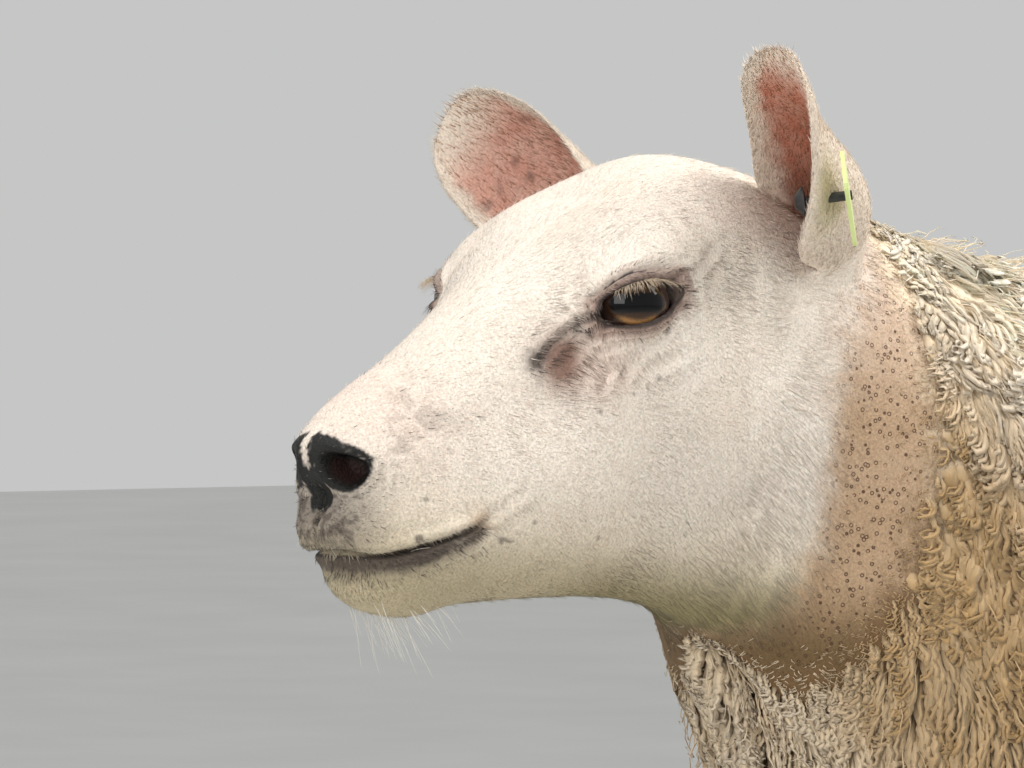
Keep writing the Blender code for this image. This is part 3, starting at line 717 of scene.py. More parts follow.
def body_mesh():
    """All points and faces of head, neck and trunk, closed at both ends, with lids and eye pockets."""
    points = [face_points.reshape(-1, 3), body_points.reshape(-1, 3)]
    ring_low, ring_high, place_low, place_high = window
    near = np.s_[ring_low - 12:ring_high + 13], np.s_[place_low - 12:place_high + 13]
    around = skin_at(face_steps[near[0], None], face_angles[near], creased=False).reshape(-1, 3)
    body_first = len(points[0])
    quads = tube_faces(len(face_steps), FACE_SIDES).reshape(-1, FACE_SIDES, 4)
    keep = np.ones(quads.shape[:2], bool)
    face_sets = []
    count = body_first + len(points[1])
    for hand in (1, -1):
        low, high = sorted(hand * place % FACE_SIDES for place in (place_low, place_high))
        keep[ring_low:ring_high, low:high] = False
        loop = window_loop(ring_low, ring_high, low, high)
        mirror = np.array((hand, 1, 1))
        rings, pole = lid_patch(points[0][loop] * mirror, around)
        sides = len(loop)
        numbers = np.arange(len(rings) * sides).reshape(-1, sides) + count
        numbers = np.vstack([loop, numbers])
        after = np.roll(numbers, -1, axis=1)
        face_sets.append(np.stack([numbers[:-1], after[:-1], after[1:], numbers[1:]], axis=-1).reshape(-1, 4))
        face_sets.append(fan_faces(numbers[-1], count + rings.size // 3))
        points += [rings.reshape(-1, 3) * mirror, pole[None] * mirror]
        count += rings.size // 3 + 1
    face_sets.append(quads[keep])
    face_sets.append(tube_faces(len(body_steps), BODY_SIDES, body_first))
    three = np.arange(BODY_SIDES) * 3 + body_first - FACE_SIDES
    end = body_first - FACE_SIDES
    one, two, next_three = three + 1, three + 2, end + (three - end + 3) % FACE_SIDES
    coarse = body_first + np.arange(BODY_SIDES)
    face_sets += [np.stack([three, one, coarse], axis=-1), np.stack([one, two, coarse], axis=-1),
                  np.stack([two, next_three, np.roll(coarse, -1), coarse], axis=-1)]
    for ring, at, inset, outward in ((np.arange(FACE_SIDES), 0.0, 0.3 * FACE_COAT, False),
                                     (coarse + (len(body_steps) - 1) * BODY_SIDES, RUMP, -BODY_COAT, True)):
        points.append(body_at(np.array([at]), 0.0) + (0, inset, 0))
        face_sets.append(fan_faces(ring, count, outward))
        count += 1
    points = np.concatenate(points)
    used = np.zeros(len(points), bool)
    for faces in face_sets:
        used[faces.ravel()] = True
    renumber = np.cumsum(used) - 1
    return points[used], [renumber[faces] for faces in face_sets]


# %% [markdown]
# ## Ears
# An ear is a leaf of gristle rolled into a funnel at its root and open at its tip. Each cross section is a
# crescent: an arc of the ear's width, and the same arc one thickness inside it. The rear edge is rolled
# into a soft band, and low ridges run up the inside.

# %% The ear's leaf
EAR_LENGTH, EAR_THICK = 122.0, 3.6
EAR_ROOT = np.array((52.0, 258.0, 82.0))
# share of the way to the tip, half the width laid flat, how far each edge curls in degrees, how deep
EAR_LEAF = np.array((
    (-0.2, 24, 110, 1.3),
    (0.00, 28, 110, 1.4),
    (0.1, 36, 112, 1.5),
    (0.2, 43, 106, 1.5),
    (0.31, 46, 98, 1.45),
    (0.43, 45, 88, 1.35),
    (0.56, 42, 75, 1.2),
    (0.7, 37, 61, 1.05),
    (0.83, 31, 51, 1.00),
    (0.93, 23, 43, 1.00),
    (0.98, 14, 38, 1.00),
    (1.00, 4, 34, 1.00),
))
# where each ear points, and where its hollow faces at root and tip: sideways from the head, forward, up
EAR_POSES = {1: ((0.38, 0.56, 0.74), (-0.52, 0.85, -0.3), (-0.25, 0.91, -0.3)),
             -1: ((0.82, 0.4, 0.56), (-0.43, 0.88, -0.1), (-0.43, 0.88, -0.1))}
EAR_BOWS = {1: 21.0, -1: -3.0}  # how far behind its line each ear's lower half lies
EAR_ROWS, EAR_ACROSS = 84, 29
EAR_COAT = 0.7


def ear_axes(hand, u=0.5):
    """The ear's own directions at shares u of the way to its tip: towards the tip, out of its hollow side and
    across it. The hollow side turns a little from root to tip."""
    along, root_hollow, tip_hollow = np.array(EAR_POSES[hand]) * (hand, -1, 1)
    along = unit(along)
    hollow = root_hollow + (tip_hollow - root_hollow) * smooth(np.asarray(u, float), 0.2, 0.9)[..., None]
    hollow = unit(hollow - along * dot(hollow, along)[..., None])
    return along, hollow, np.cross(along, hollow)


def softened(rows, rounds):
    """Rows averaged with their neighbours a few times, with the two ends held."""
    for _ in range(rounds):
        rows[1:-1] = 0.25 * rows[:-2] + 0.5 * rows[1:-1] + 0.25 * rows[2:]
    return rows


def ear_line(hand, u):
    """The line that an ear's cross sections stand on, at shares u of it: bowed back low down."""
    along, hollow, over = ear_axes(hand, u)
    bow = 5 * np.sin(math.pi * np.clip(u, 0, 1)) + 8
    bow = bow + EAR_BOWS[hand] * falls(u, 0.2, 0.8) * smooth(u, -0.3, 0.1)
    straight = EAR_ROOT * (hand, 1, 1) + along * (EAR_LENGTH * u - 6)[..., None]
    return straight - hollow * bow[..., None]


def leaf_thickness(u, across):
    """The ear's thickness, greatest at its root and along its middle."""
    return EAR_THICK * (1 - 0.45 * np.clip(across, -1, 1) ** 2) * (1 - 0.35 * np.clip(u, 0, 1))


def ear_surface(hand):
    """Crescent rings of an ear from root to tip: rows x (twice EAR_ACROSS) x (side, behind, up)."""
    t = np.linspace(0, 1, EAR_ROWS)
    u = -0.22 + 1.22 * (1 - (1 - t) ** 1.3)
    along, hollow, over = ear_axes(hand, u)
    leaf = np.stack([np.interp(u, EAR_LEAF[:, 0], EAR_LEAF[:, i]) for i in (1, 2, 3)], axis=-1)
    half, curl, deep = (column[:, None] for column in softened(leaf, 3).T)
    v = np.linspace(-1, 1, EAR_ACROSS)[None]
    rear = hand * v
    radius = half / np.radians(curl)
    turn = np.radians(curl) * v
    thick = leaf_thickness(u[:, None], v)
    middle = ear_line(hand, u)
    on_leaf = smooth(u, 0.0, 0.25)[:, None] * (1 - smooth(u, 0.9, 1.0)[:, None])
    rim = 2.4 * bell(rear - 0.92, 0.11) * on_leaf
    wave = 1.1 * np.sin(9 * u + 0.6)[:, None] * smooth(np.abs(v), 0.6, 1.0) * on_leaf
    ridges = 0.5 * np.cos(3.4 * math.pi * (v - 0.1)) * (1 - v**2) * on_leaf
    bulk = 2.5 * falls(u, -0.1, 0.22)[:, None]
    arcs = []
    for r in (radius - EAR_COAT + rim + bulk, radius - thick + EAR_COAT - rim * 0.4 - ridges):
        rise = deep * (radius - r * np.cos(turn)) + wave
        flat = (r * np.sin(turn))[..., None] * over[:, None]
        arcs.append(middle[:, None] + flat + rise[..., None] * hollow[:, None])
    return np.concatenate([arcs[0], arcs[1][:, ::-1]], axis=1)


def ladder_faces(ring):
    """Quads across a crescent ring, from each point of one arc to its partner on the other."""
    ring = np.asarray(ring)
    half = len(ring) // 2
    i = np.arange(half - 1)
    return np.stack([ring[i], ring[i + 1], ring[-2 - i], ring[-1 - i]], axis=-1)


def closed_outward(points, face_sets):
    """The same faces, turned over if the volume that they close comes out negative."""
    volume = 0.0
    for faces in face_sets:
        for last in range(2, faces.shape[1]):
            one, two, three = (points[faces[:, k]] for k in (0, last - 1, last))
            volume += dot(one, np.cross(two, three)).sum()
    return face_sets if volume > 0 else [faces[:, ::-1] for faces in face_sets]


def closed_tube(rings, middles=None):
    """Points and faces of a tube through rings of points, closed at each end by a fan to a middle point."""
    count, sides = rings.shape[:2]
    middles = rings[[0, -1]].mean(axis=1) if middles is None else middles
    points = np.vstack([rings.reshape(-1, 3), middles])
    last = count * sides
    fans = [fan_faces(np.arange(sides), last, False), fan_faces(np.arange(last - sides, last), last + 1)]
    return points, closed_outward(points, [tube_faces(count, sides), *fans])


def ear_shell(hand):
    """Points and faces of one closed ear."""
    rings = ear_surface(hand)
    rows, sides = rings.shape[:2]
    numbers = np.arange(rows * sides).reshape(rows, sides)
    caps = [ladder_faces(numbers[0])[:, ::-1], ladder_faces(numbers[-1])]
    points = rings.reshape(-1, 3)
    return points, closed_outward(points, [tube_faces(rows, sides), *caps])


# %% [markdown]
# ## Legs and tail
# A leg is a table of ovals down to the coronet, with a smooth curve through them. Below the knee a groove
# parts the shin bone from the tendon behind it. Wool hides the top of the leg, so the skin lies deep there
# and close to the solid's surface on the shank.

# %% Legs
# height above the ground, behind the nose, out to the side, half depth, half width
FORE_LEG = np.array((
    (560, 545, 92, 78, 62),
    (480, 575, 112, 84, 62),
    (410, 600, 116, 66, 52),
    (360, 592, 112, 44, 38),
    (315, 580, 108, 31, 29),
    (285, 575, 106, 27, 26),
    (262, 573, 105, 28, 27),
    (235, 574, 104, 24, 23),
    (200, 577, 104, 18, 17.5),
    (150, 578, 104, 17, 16.5),
    (112, 577, 104, 20, 19),
    (92, 574, 104, 24, 22.5),
    (72, 564, 104, 20, 21),
    (55, 555, 104, 22, 24),
    (44, 550, 104, 26, 27.5),
), float)
HIND_LEG = np.array((
    (600, 1110, 108, 110, 82),
    (520, 1092, 128, 132, 82),
    (455, 1082, 130, 118, 72),
    (400, 1098, 124, 86, 56),
    (350, 1122, 118, 56, 40),
    (310, 1142, 114, 38, 29),
    (278, 1156, 111, 33, 24),
    (250, 1160, 110, 32, 24),
    (222, 1154, 110, 25, 21),
    (190, 1148, 110, 19, 17.5),
    (145, 1144, 110, 18, 17),
    (110, 1142, 110, 20.5, 19.5),
    (92, 1138, 110, 24, 22.5),
    (72, 1128, 110, 20, 21),
    (55, 1119, 110, 22, 24),
    (44, 1114, 110, 26, 27.5),
), float)
LEG_RINGS, LEG_SIDES = 84, 32
LEG_WOOL_FROM = {"fore": (330.0, 430.0), "hind": (325.0, 440.0)}  # heights where the wool starts and is deep


def leg_coat(name, height):
    """The coat's depth on a leg by height above the ground."""
    low, high = LEG_WOOL_FROM[name]
    return 0.6 + 1.4 * smooth(height, 44, 60) + 24.0 * smooth(height, low, high)


def leg_shell(name, rows, hand):
    """Points and faces of one closed leg."""
    ends = np.vstack([2 * rows[0] - rows[1], rows, 2 * rows[-1] - rows[-2]])
    steps = (len(rows) - 1) * np.linspace(0, 1, LEG_RINGS) ** 0.9
    height, behind, out, deep, wide = (column[:, None] for column in catmull_rom(ends, steps).T)
    a = np.arange(LEG_SIDES) * 2 * math.pi / LEG_SIDES
    shin = smooth(height, 95, 130) * falls(height, 215, 250)
    groove = 1.7 * shin * (bell(a - 1.35, 0.35) + bell(a - (2 * math.pi - 1.35), 0.35))
    joint = 58.0 if name == "fore" else 250.0
    knob = 1.6 * bell(height - joint, 9.0) * (bell(a - 1.57, 0.5) + bell(a - 4.71, 0.5))
    less = leg_coat(name, height) + groove - knob
    side = hand * out + (wide - less) * np.sin(a)
    back = behind + (deep - less) * np.cos(a)
    return closed_tube(np.stack([side, back, height + GROUND + 0 * a], axis=-1))


# %% Tail
TAIL_LINE = np.array((  # behind the nose, above the ground, half width, half depth
    (1180, 655, 26, 22),
    (1215, 668, 30, 24),
    (1242, 655, 34, 26),
    (1268, 625, 35, 25),
    (1284, 580, 35, 23),
    (1290, 530, 33, 21),
    (1290, 485, 30, 19),
    (1286, 450, 24, 16),
    (1282, 430, 12, 9),
), float)
TAIL_COAT = 11.0


def tail_shell(rings=40, sides=24):
    """Points and faces of the closed tail under its wool: ovals that stand square to its middle line."""
    steps = np.linspace(0, len(TAIL_LINE) - 1, rings)
    rows = catmull_rom(np.vstack([TAIL_LINE[0], TAIL_LINE, TAIL_LINE[-1]]), steps)
    lean = unit(np.gradient(rows[:, 0:2], axis=0))
    a = np.arange(sides) * 2 * math.pi / sides
    behind, height, wide, deep = (column[:, None] for column in rows.T)
    wide, deep = np.maximum(wide - TAIL_COAT, 5), np.maximum(deep - TAIL_COAT, 4)
    back, rise = -lean[:, 1:2] * deep * np.cos(a), lean[:, 0:1] * deep * np.cos(a)
    return closed_tube(np.stack([wide * np.sin(a), behind + back, height + GROUND + rise], axis=-1))


# %% [markdown]
# ## One skin
# Body, ears, legs and tail are each a closed shell. A Boolean union joins them into one, still in the
# straight body's millimetres. The joints at the ears are then relaxed: a few times over, each point there
# moves part of the way to the middle of its neighbours.

# %% Union
def joined(shells):
    """Points and faces of several shells as one mesh of separate bodies."""
    points, face_sets, count = [], [], 0
    for shell_points, shell_faces in shells:
        points.append(shell_points)
        face_sets += [faces + count for faces in shell_faces]
        count += len(shell_points)
    return np.concatenate(points), face_sets


def union(one, two):
    """Points and triangles of the union of two meshes."""
    things = [in_scene(label, mesh_from(label, *shell)) for label, shell in (("one", one), ("two", two))]
    boolean = things[0].modifiers.new("join", "BOOLEAN")
    boolean.operation, boolean.object, boolean.solver = "UNION", things[1], "MANIFOLD"
    bpy.context.view_layer.update()
    whole = things[0].evaluated_get(bpy.context.evaluated_depsgraph_get()).to_mesh()
    whole.calc_loop_triangles()
    points = np.empty(len(whole.vertices) * 3, np.float32)
    whole.vertices.foreach_get("co", points)
    triangles = np.empty(len(whole.loop_triangles) * 3, np.int32)
    whole.loop_triangles.foreach_get("vertices", triangles)
    for thing in things:
        mesh = thing.data
        bpy.data.objects.remove(thing)
        bpy.data.meshes.remove(mesh)
    return points.reshape(-1, 3).astype(float), triangles.reshape(-1, 3)


def relaxed(points, triangles, share, rounds):
    """Moves each point by its share of the way to its neighbours' middle, a few times over."""
    ends = np.concatenate([triangles[:, [0, 1]], triangles[:, [1, 2]], triangles[:, [2, 0]]])
    ends = np.concatenate([ends, ends[:, ::-1]])
    count = np.maximum(np.bincount(ends[:, 0], minlength=len(points)), 1)
    for _ in range(rounds):
        sums = [np.bincount(ends[:, 0], points[ends[:, 1], axis], len(points)) for axis in range(3)]
        points = points + share[:, None] * (np.stack(sums, axis=-1) / count[:, None] - points)
    return points


def area_arrows(points, triangles):
    """The arrow out of each triangle, twice as long as its area."""
    a, b, c = (points[triangles[:, corner]] for corner in range(3))
    return np.cross(b - a, c - a)


def normals_of(points, triangles):
    """The outward arrow at each point: its triangles' arrows added up by their areas."""
    arrows = area_arrows(points, triangles)
    sums = [np.bincount(triangles.ravel(), np.repeat(arrows[:, axis], 3), len(points)) for axis in range(3)]
    return unit(np.stack(sums, axis=-1))


LEGS = (("fore", FORE_LEG), ("hind", HIND_LEG))
limbs = [ear_shell(hand) for hand in (1, -1)] + [leg_shell(*leg, hand) for leg in LEGS for hand in (1, -1)]
limbs.append(tail_shell())
skin_points, skin_triangles = union(body_mesh(), joined(limbs))
print("skin after the union:", len(skin_points), "points,", len(skin_triangles), "triangles")


def ear_place(points):
    """Where points are on the ear of their side: share of the way to its tip, mm off the leaf, place across
    from one rim (-1) to the other (1), and mm from the leaf's middle into the hollow.

    Undoing the crescent's own formula gives the turn round its centre and the radius there.
    """
    found = []
    for hand in (1, -1):
        straight = points - np.array((hand, 1, 1)) * EAR_ROOT
        u = (straight @ ear_axes(hand)[0] + 6) / EAR_LENGTH
        along, hollow, over = ear_axes(hand, u)
        away = points - ear_line(hand, u)
        half, curl, deep = (np.interp(u, EAR_LEAF[:, 0], EAR_LEAF[:, i]) for i in (1, 2, 3))
        radius = half / np.radians(curl)
        toward, level = radius - dot(away, hollow) / deep, dot(away, over)
        turn, reach = np.arctan2(level, toward), np.hypot(level, toward)
        across = turn / np.radians(curl)
        into = radius - leaf_thickness(u, across) / 2 - reach
        beyond = np.clip(np.abs(across) - 1, 0, None) * half
        past = np.clip(np.maximum(u - 1, -0.2 - u), 0, None) * EAR_LENGTH
        found.append((u, np.abs(into) + beyond + past, across, into))
    left = points[..., 0] > 0
    return tuple(np.where(left, one, other) for one, other in zip(*found))


ear_up, ear_far = ear_place(skin_points)[:2]
root_share = 0.75 * bell(ear_up + 0.02, 0.15) * (ear_far < 16)
skin_points = relaxed(skin_points, skin_triangles, root_share, 22)
skin_normals = normals_of(skin_points, skin_triangles)

# %% [markdown]
# ## Markings
# Skin and hair wear the same colours, so both ask one function for them. It starts from cream white, tints
# broad regions softly, and gives each place a share of dark pigment. The skin mixes that share in. The hair
# uses it as a chance: each hair is either dark or light, which is how a freckled muzzle really looks.

# %% Smooth chance values in space
def noise(points, size, seed=0):
    """Values from 0 to 1 that change smoothly over a size in mm: a random number at each corner of a cubic
    lattice, blended by how near each corner is."""
    grid = np.asarray(points) / size + 1000.5
    low = np.floor(grid).astype(np.int64)
    t = smooth(grid - low, 0, 1)
    total = np.zeros(grid.shape[:-1])
    for corner in np.ndindex(2, 2, 2):
        cell = low + corner
        stirred = cell[..., 0] * 73856093 ^ cell[..., 1] * 19349663 ^ cell[..., 2] * 83492791 ^ seed * 40503
        stirred = (stirred ^ (stirred >> 13)) * 1274126177 & 0xFFFFFFF
        value = ((stirred ^ (stirred >> 11)) & 0xFFFF) / 0xFFFF
        total += value * np.prod(np.where(corner, t, 1 - t), axis=-1)
    return total


def noise_arrows(points, size, seeds):
    """An arrow at each point, from -0.5 to 0.5 each way, that changes smoothly over a size in mm."""
    return np.stack([noise(points, size, seed) - 0.5 for seed in seeds], axis=-1)


def tinted(colours, target, share):
    """Colours moved towards a target by a share."""
    return colours + (np.asarray(target) - colours) * np.asarray(share)[..., None]


# %% Colours by place
CREAM, NOSE_BLACK, LIP_DARK = (0.86, 0.79, 0.71), (0.007, 0.007, 0.0065), (0.062, 0.046, 0.04)
SKIN_PINK, BARE_TAN, RUST = (0.6, 0.34, 0.27), (0.57, 0.39, 0.27), (0.19, 0.08, 0.05)
EAR_RED, EAR_PINK = (0.4, 0.078, 0.024), (0.53, 0.225, 0.165)
LID_BROWN, LID_DARK = (0.26, 0.13, 0.095), (0.035, 0.022, 0.02)
# The wool's root colour is a dark brown that paints shade under and between the locks.
WOOL_ROOT_SHADE, WOOL_TIP, WOOL_MIDDLE = (0.17, 0.095, 0.04), (1.0, 0.94, 0.83), (1.0, 0.86, 0.66)
# The dull colour, used lower on the body, is partly grime and partly painted shade.
WOOL_GRIME_SHADE, WOOL_PALE = (0.4, 0.23, 0.07), (0.95, 0.8, 0.6)


def ear_inside(points):
    """1 in the hollow of an ear and fading at its rims, 1 on all of the ear, and how far up the ear."""
    up, off, across, into = ear_place(points)
    on_ear = smooth(up, 0.0, 0.12) * falls(off, 4.0, 6.5)
    within = falls(np.abs(across) + 0.12 * (noise(points, 6.0, 8) - 0.5), 0.7, 0.9)
    return on_ear * (into > -0.2) * within, on_ear, up


def leather(points):
    """How far a place is black nose leather: around the nostril and down the middle."""
    place = to_left(points)
    side, behind, up = np.moveaxis(place, -1, 0)
    away = place - NOSTRIL_AT
    way = np.arctan2(away[..., 2], away @ nostril_across)
    reach = 1.38 - 0.24 * np.cos(way) + 0.26 * np.sin(way)
    ring = falls(nostril_share(points), reach - 0.16, reach + 0.16)
    gap = 5.5 + 2.5 * bell(up + 16, 9) - 2.5 * smooth(-up, 24, 34)
    strip = smooth(-up, -9, 4) * falls(-up, 21, 30) * falls(behind, 12, 18)
    middle = falls(side, gap - 2.5, gap + 1.5) * strip
    crest = 1 - 0.85 * bell(side, 2.3) * smooth(up, -10, -4)
    ragged = 0.62 * (noise(points, 1.5, 5) - 0.5) + 0.42 * (noise(points, 4.0, 6) - 0.5)
    return smooth(np.maximum(ring, middle) * crest + ragged, 0.3, 0.78)


def off_lid(place):
    """For places on the left: distance from the eye, angle off the gaze, turn about it, mm off the lid."""
    far, off, turn = eye_view(place)
    return far, off, turn, (off - margin_at(turn)[1]) * far


tear_line = crease_lines[1][2]
corner_line = on_flank(((168, 70), (177, 79), (186, 86)))
rust_middle = on_flank(((112, 38), (111, 33)))[0]


def pigment(points):
    """The share of dark hairs and dark skin: freckled lips and nose, mouth line, lids, and tear line with
    painted shade in its fold.
    """
    place = to_left(points)
    side, behind, up = np.moveaxis(place, -1, 0)
    fine, broad = noise(points, 2.2, 1), noise(points, 9.0, 2)
    patchy = smooth(0.5 * fine + 0.5 * broad, 0.42, 0.62)
    spotted = 0.4 + 0.6 * patchy
    above, past = mouth_height(points)
    upper = 1.15 * bell(np.hypot((side - 8) / 22, (up + 27) / 20), 1.0)
    upper = upper * falls(behind, 14, 36) * smooth(above, -1, 1)
    lower = 1.7 * bell(above + 3, 6.0) * smooth(-above, -2, 1) * (1 - 0.45 * smooth(behind, 40, 70))
    nose = (0.42 * bell(np.hypot(behind - 46, up - 12), 17) * (side > 12)
            + 0.35 * bell(np.hypot(behind - 26, up + 2), 11)
            + 0.08 * bell(np.hypot(behind - 40, up - 30), 14))
    total = np.maximum(upper, lower * falls(past, -2, 4)) * (0.7 + 0.3 * patchy) + 0.8 * nose * patchy
    far, off, turn, gap = off_lid(place)
    lids = 0.4 * smooth(-np.sin(turn), -0.2, 0.3) * bell(gap, 5.0) * patchy + 0.95 * bell(gap, 1.3)
    lids = lids + 0.34 * smooth(np.sin(turn), 0.1, 0.5) * bell(gap - 4, 4.5)
    total += lids * (far < EYE_RADIUS + 14) * (off < 1.6)
    # Along the tear line and the crease from the eye's outer corner: dark skin and hairs, and painted shade
    # in their folds. Around the tear pit the skin is darkly freckled.
    tear, share = distance_to_line(place, tear_line)
    total += 1.9 * bell(tear, 1.9 + 1.3 * share) * (0.85 + 0.15 * fine)
    total += 0.95 * bell(np.linalg.norm((place - tear_line[-1]) * (1, 1.2, 0.8), axis=-1), 6.5) * spotted
    total += 0.3 * bell(distance_to_line(place, corner_line)[0], 4.5) * spotted
    return np.clip(np.maximum(total, 0.95 * bell(above, 1.9) * falls(past, -3, 3)), 0, 1)


FRECKLES = 320
freckle_seeds = np.random.default_rng(23)
freckle_places = solid_at(freckle_seeds.uniform(3.5, 12.5, FRECKLES),
                          freckle_seeds.uniform(0.1, 2 * math.pi - 0.1, FRECKLES))
freckle_sizes = freckle_seeds.uniform(0.5, 1.25, FRECKLES)


def freckles(points):
    """How dark a place is with scattered round spots of a millimetre or so."""
    dark = np.zeros(points.shape[:-1])
    for place, size in zip(freckle_places, freckle_sizes):
        distance = np.linalg.norm(points - place, axis=-1)
        dark = np.maximum(dark, falls(distance, 0.7 * size, 1.5 * size + 2.3))
    return 0.8 * smooth(dark, 0.55, 0.85)


def markings(points):
    """The skin's colour, and how dark, black, wet, bare, within an ear and on the lips' edge a place is."""
    place = to_left(points)
    side, behind, up = np.moveaxis(place, -1, 0)
    broad, fine = noise(points, 26.0, 3), noise(points, 5.0, 4)
    low, front, height = -up - 0.12 * behind, behind < 300, up - GROUND
    rust = np.linalg.norm((place - rust_middle) * (1, 1.1, 0.8), axis=-1)
    mouth_end = np.hypot(behind - MOUTH_CORNER[0] + 3, up - MOUTH_CORNER[1])
    above, past = mouth_height(points)
    step, angle = body_place(points)
    hair_stop, wool_begin = strip_at(angle)
    bare = smooth(step + 0.3 * (fine - 0.5), hair_stop - 0.4, hair_stop + 0.3) * (behind > 190)
    woolly = smooth(step + 0.5 * (fine - 0.5), wool_begin - 0.45, wool_begin + 0.15) * (behind > 190)
    far, off, turn, gap = off_lid(place)
    near_eye = (far < EYE_RADIUS + 12) * (off < 1.7)
    inside_ear, on_ear, ear_share = ear_inside(points)
    blotch = bell(ear_share - 0.62, 0.12) * smooth(noise(points, 7.0, 9), 0.62, 0.8) * (points[..., 0] < 0)
    legs = smooth(-up, 330, 380)
    colour = np.array(CREAM)
    for target, share in (
        ((0.66, 0.55, 0.44), 0.3 * broad),
        (SKIN_PINK, 0.22 * bell(np.hypot(behind - 34, up - 20), 24) + 0.1 * fine),
        (SKIN_PINK, 0.3 * bell(np.hypot(behind - 126, up - 34), 15)),
        # Painted shade under the jaw, the chin and the throat, darkest low down and towards the back of the
        # jaw.
        ((0.58, 0.48, 0.3), 0.65 * smooth(low, -10, 55) * front),
        ((0.24, 0.2, 0.09), (0.5 + 0.45 * smooth(behind, 110, 180)) * smooth(low, 20, 54) * front),
        (RUST, np.clip(1.3 * bell(rust, 9.5), 0, 0.85)),
        ((0.38, 0.19, 0.07), 0.65 * bell(mouth_end, 5.0) * (behind < 90)),
        (BARE_TAN, 0.85 * bare * (0.75 + 0.25 * fine)),
        # The bare strip turns browner in its lower half and dark at its bottom: dirt, and painted shade low
        # on the neck.
        ((0.42, 0.28, 0.165), bare * smooth(-up, -75, 5) * (0.7 + 0.25 * broad)),
        ((0.13, 0.08, 0.03), bare * smooth(-up, 58, 100) * (0.85 + 0.15 * broad)),
        # Skin under the wool: pale on the back and dark brown lower down, as painted shade beneath the locks.
        (tinted(WOOL_PALE, WOOL_ROOT_SHADE, smooth(np.abs(np.degrees(angle)), 55, 120)), woolly),
        (LID_BROWN, near_eye * (0.7 * bell(gap - 1.5, 2.4) + 0.5 * bell(gap - 5.5, 2.4))),
        (LID_DARK, 0.9 * near_eye * bell(gap, 1.1)),
        ((0.74, 0.64, 0.54), on_ear),
        (np.where(points[..., 0:1] > 0, EAR_RED, EAR_PINK),
         0.9 * inside_ear * falls(ear_share, 0.74, 0.97) * (0.7 + 0.3 * fine)),
        # Painted shade deep in the ear's funnel, near its root.
        ((0.075, 0.03, 0.02), 0.85 * inside_ear * falls(ear_share, 0.12, 0.42)),
        ((0.05, 0.03, 0.03), 0.7 * inside_ear * blotch),
        ((0.7, 0.61, 0.5), legs),
        ((0.34, 0.26, 0.18), legs * (0.75 * falls(height, 45, 120) + 0.2 * broad)),
        # Painted shade on the upper leg's skin under the wool.
        (WOOL_ROOT_SHADE, legs * smooth(height, 335, 400)),
    ):
        colour = tinted(colour, target, share)
    dark = np.clip((pigment(points) + freckles(points)) * (behind < 250), 0, 1)
    black = leather(points) * (behind < 60)
    in_pocket = (far < EYE_RADIUS + 1.7) * (gap < 1.0) | (far < EYE_RADIUS + 1.3)
    wet = np.maximum(black, in_pocket * (behind > 100) * (behind < 200))
    lips = bell(above, 1.1) * falls(past, -4, 1) * (behind < 90)
    return colour, dark, black, wet, bare * (1 - woolly), np.clip(inside_ear, 0, 1), lips


def skin_colour(points):
    """The skin's own colour, how wet it is and how bare."""
    colour, dark, black, wet, bare, inside_ear, lips = markings(points)
    nostril = falls(nostril_share(points), 0.42, 0.8) * (points[..., 1] < 60)
    # Inside each nostril the skin is darkened to a blackish brown: its own dark pink, and painted shade in
    # the pocket.
    for target, share in ((LIP_DARK, 0.9 * dark), ((0.018, 0.012, 0.011), lips), (NOSE_BLACK, black),
                          ((0.045, 0.02, 0.017), 0.9 * nostril), (LID_DARK, np.clip(wet - black, 0, 1))):
        colour = tinted(colour, target, share)
    return colour, np.where(black > 0.5, 0.45 * wet, wet), bare


# %% [markdown]
# ## The skin's finish
# The finish reads the painted colour and adds what is too small for points: fine grain, a pebbled nose, and
# on the bare strip of the neck small dark rings around its pores. Wet places are glossier.

# %% Node helpers
def new_finish(name, settings):
    """A material with its node tree and its Principled shader, which gets plain settings for its sockets."""
    finish = bpy.data.materials.new(name)
    finish.use_nodes = True
    shader = finish.node_tree.nodes["Principled BSDF"]
    for socket, value in settings.items():
        shader.inputs[socket].default_value = value
    return finish, finish.node_tree, shader


def node(tree, kind, links=None, **settings):
    """A node with plain settings, and with sockets set to values or linked to other nodes' sockets."""
    made = tree.nodes.new(kind)
    for key, value in settings.items():
        setattr(made, key, value)
    for socket, value in (links or {}).items():
        if isinstance(value, bpy.types.NodeSocket):
            tree.links.new(value, made.inputs[socket])
        else:
            made.inputs[socket].default_value = value
    return made


def object_place(tree):
    """Each point's place on its own piece, in metres."""
    return node(tree, "ShaderNodeTexCoord").outputs["Object"]


def noise_node(tree, place, scale, detail):
    """Soft noise from 0 to 1, with about this many lumps in a metre."""
    links = {"Vector": place, "Scale": scale, "Detail": detail}
    return node(tree, "ShaderNodeTexNoise", links).outputs["Fac"]


def stretched_noise(tree, place, scales, detail):
    """Soft noise with its own number of lumps in a metre each way."""
    spread = node(tree, "ShaderNodeMapping", {"Vector": place, "Scale": scales})
    return noise_node(tree, spread.outputs["Vector"], 1.0, detail)


def math_node(tree, operation, one, two=0.0):
    """The result of one sum on one or two numbers or sockets."""
    return node(tree, "ShaderNodeMath", {0: one, 1: two}, operation=operation).outputs[0]


def times(tree, one, two):
    """The product of two numbers or sockets."""
    return math_node(tree, "MULTIPLY", one, two)


def ramp(tree, value, low, high, to_low=0.0, to_high=1.0):
    """A value mapped from low-high to new ends, held at them."""
    links = {"Value": value, "From Min": low, "From Max": high, "To Min": to_low, "To Max": to_high}
    return node(tree, "ShaderNodeMapRange", links).outputs["Result"]


def mixed(tree, share, one, two):
    """A mix of two colours."""
    return node(tree, "ShaderNodeMix", {0: share, 6: one, 7: two}, data_type="RGBA").outputs[2]


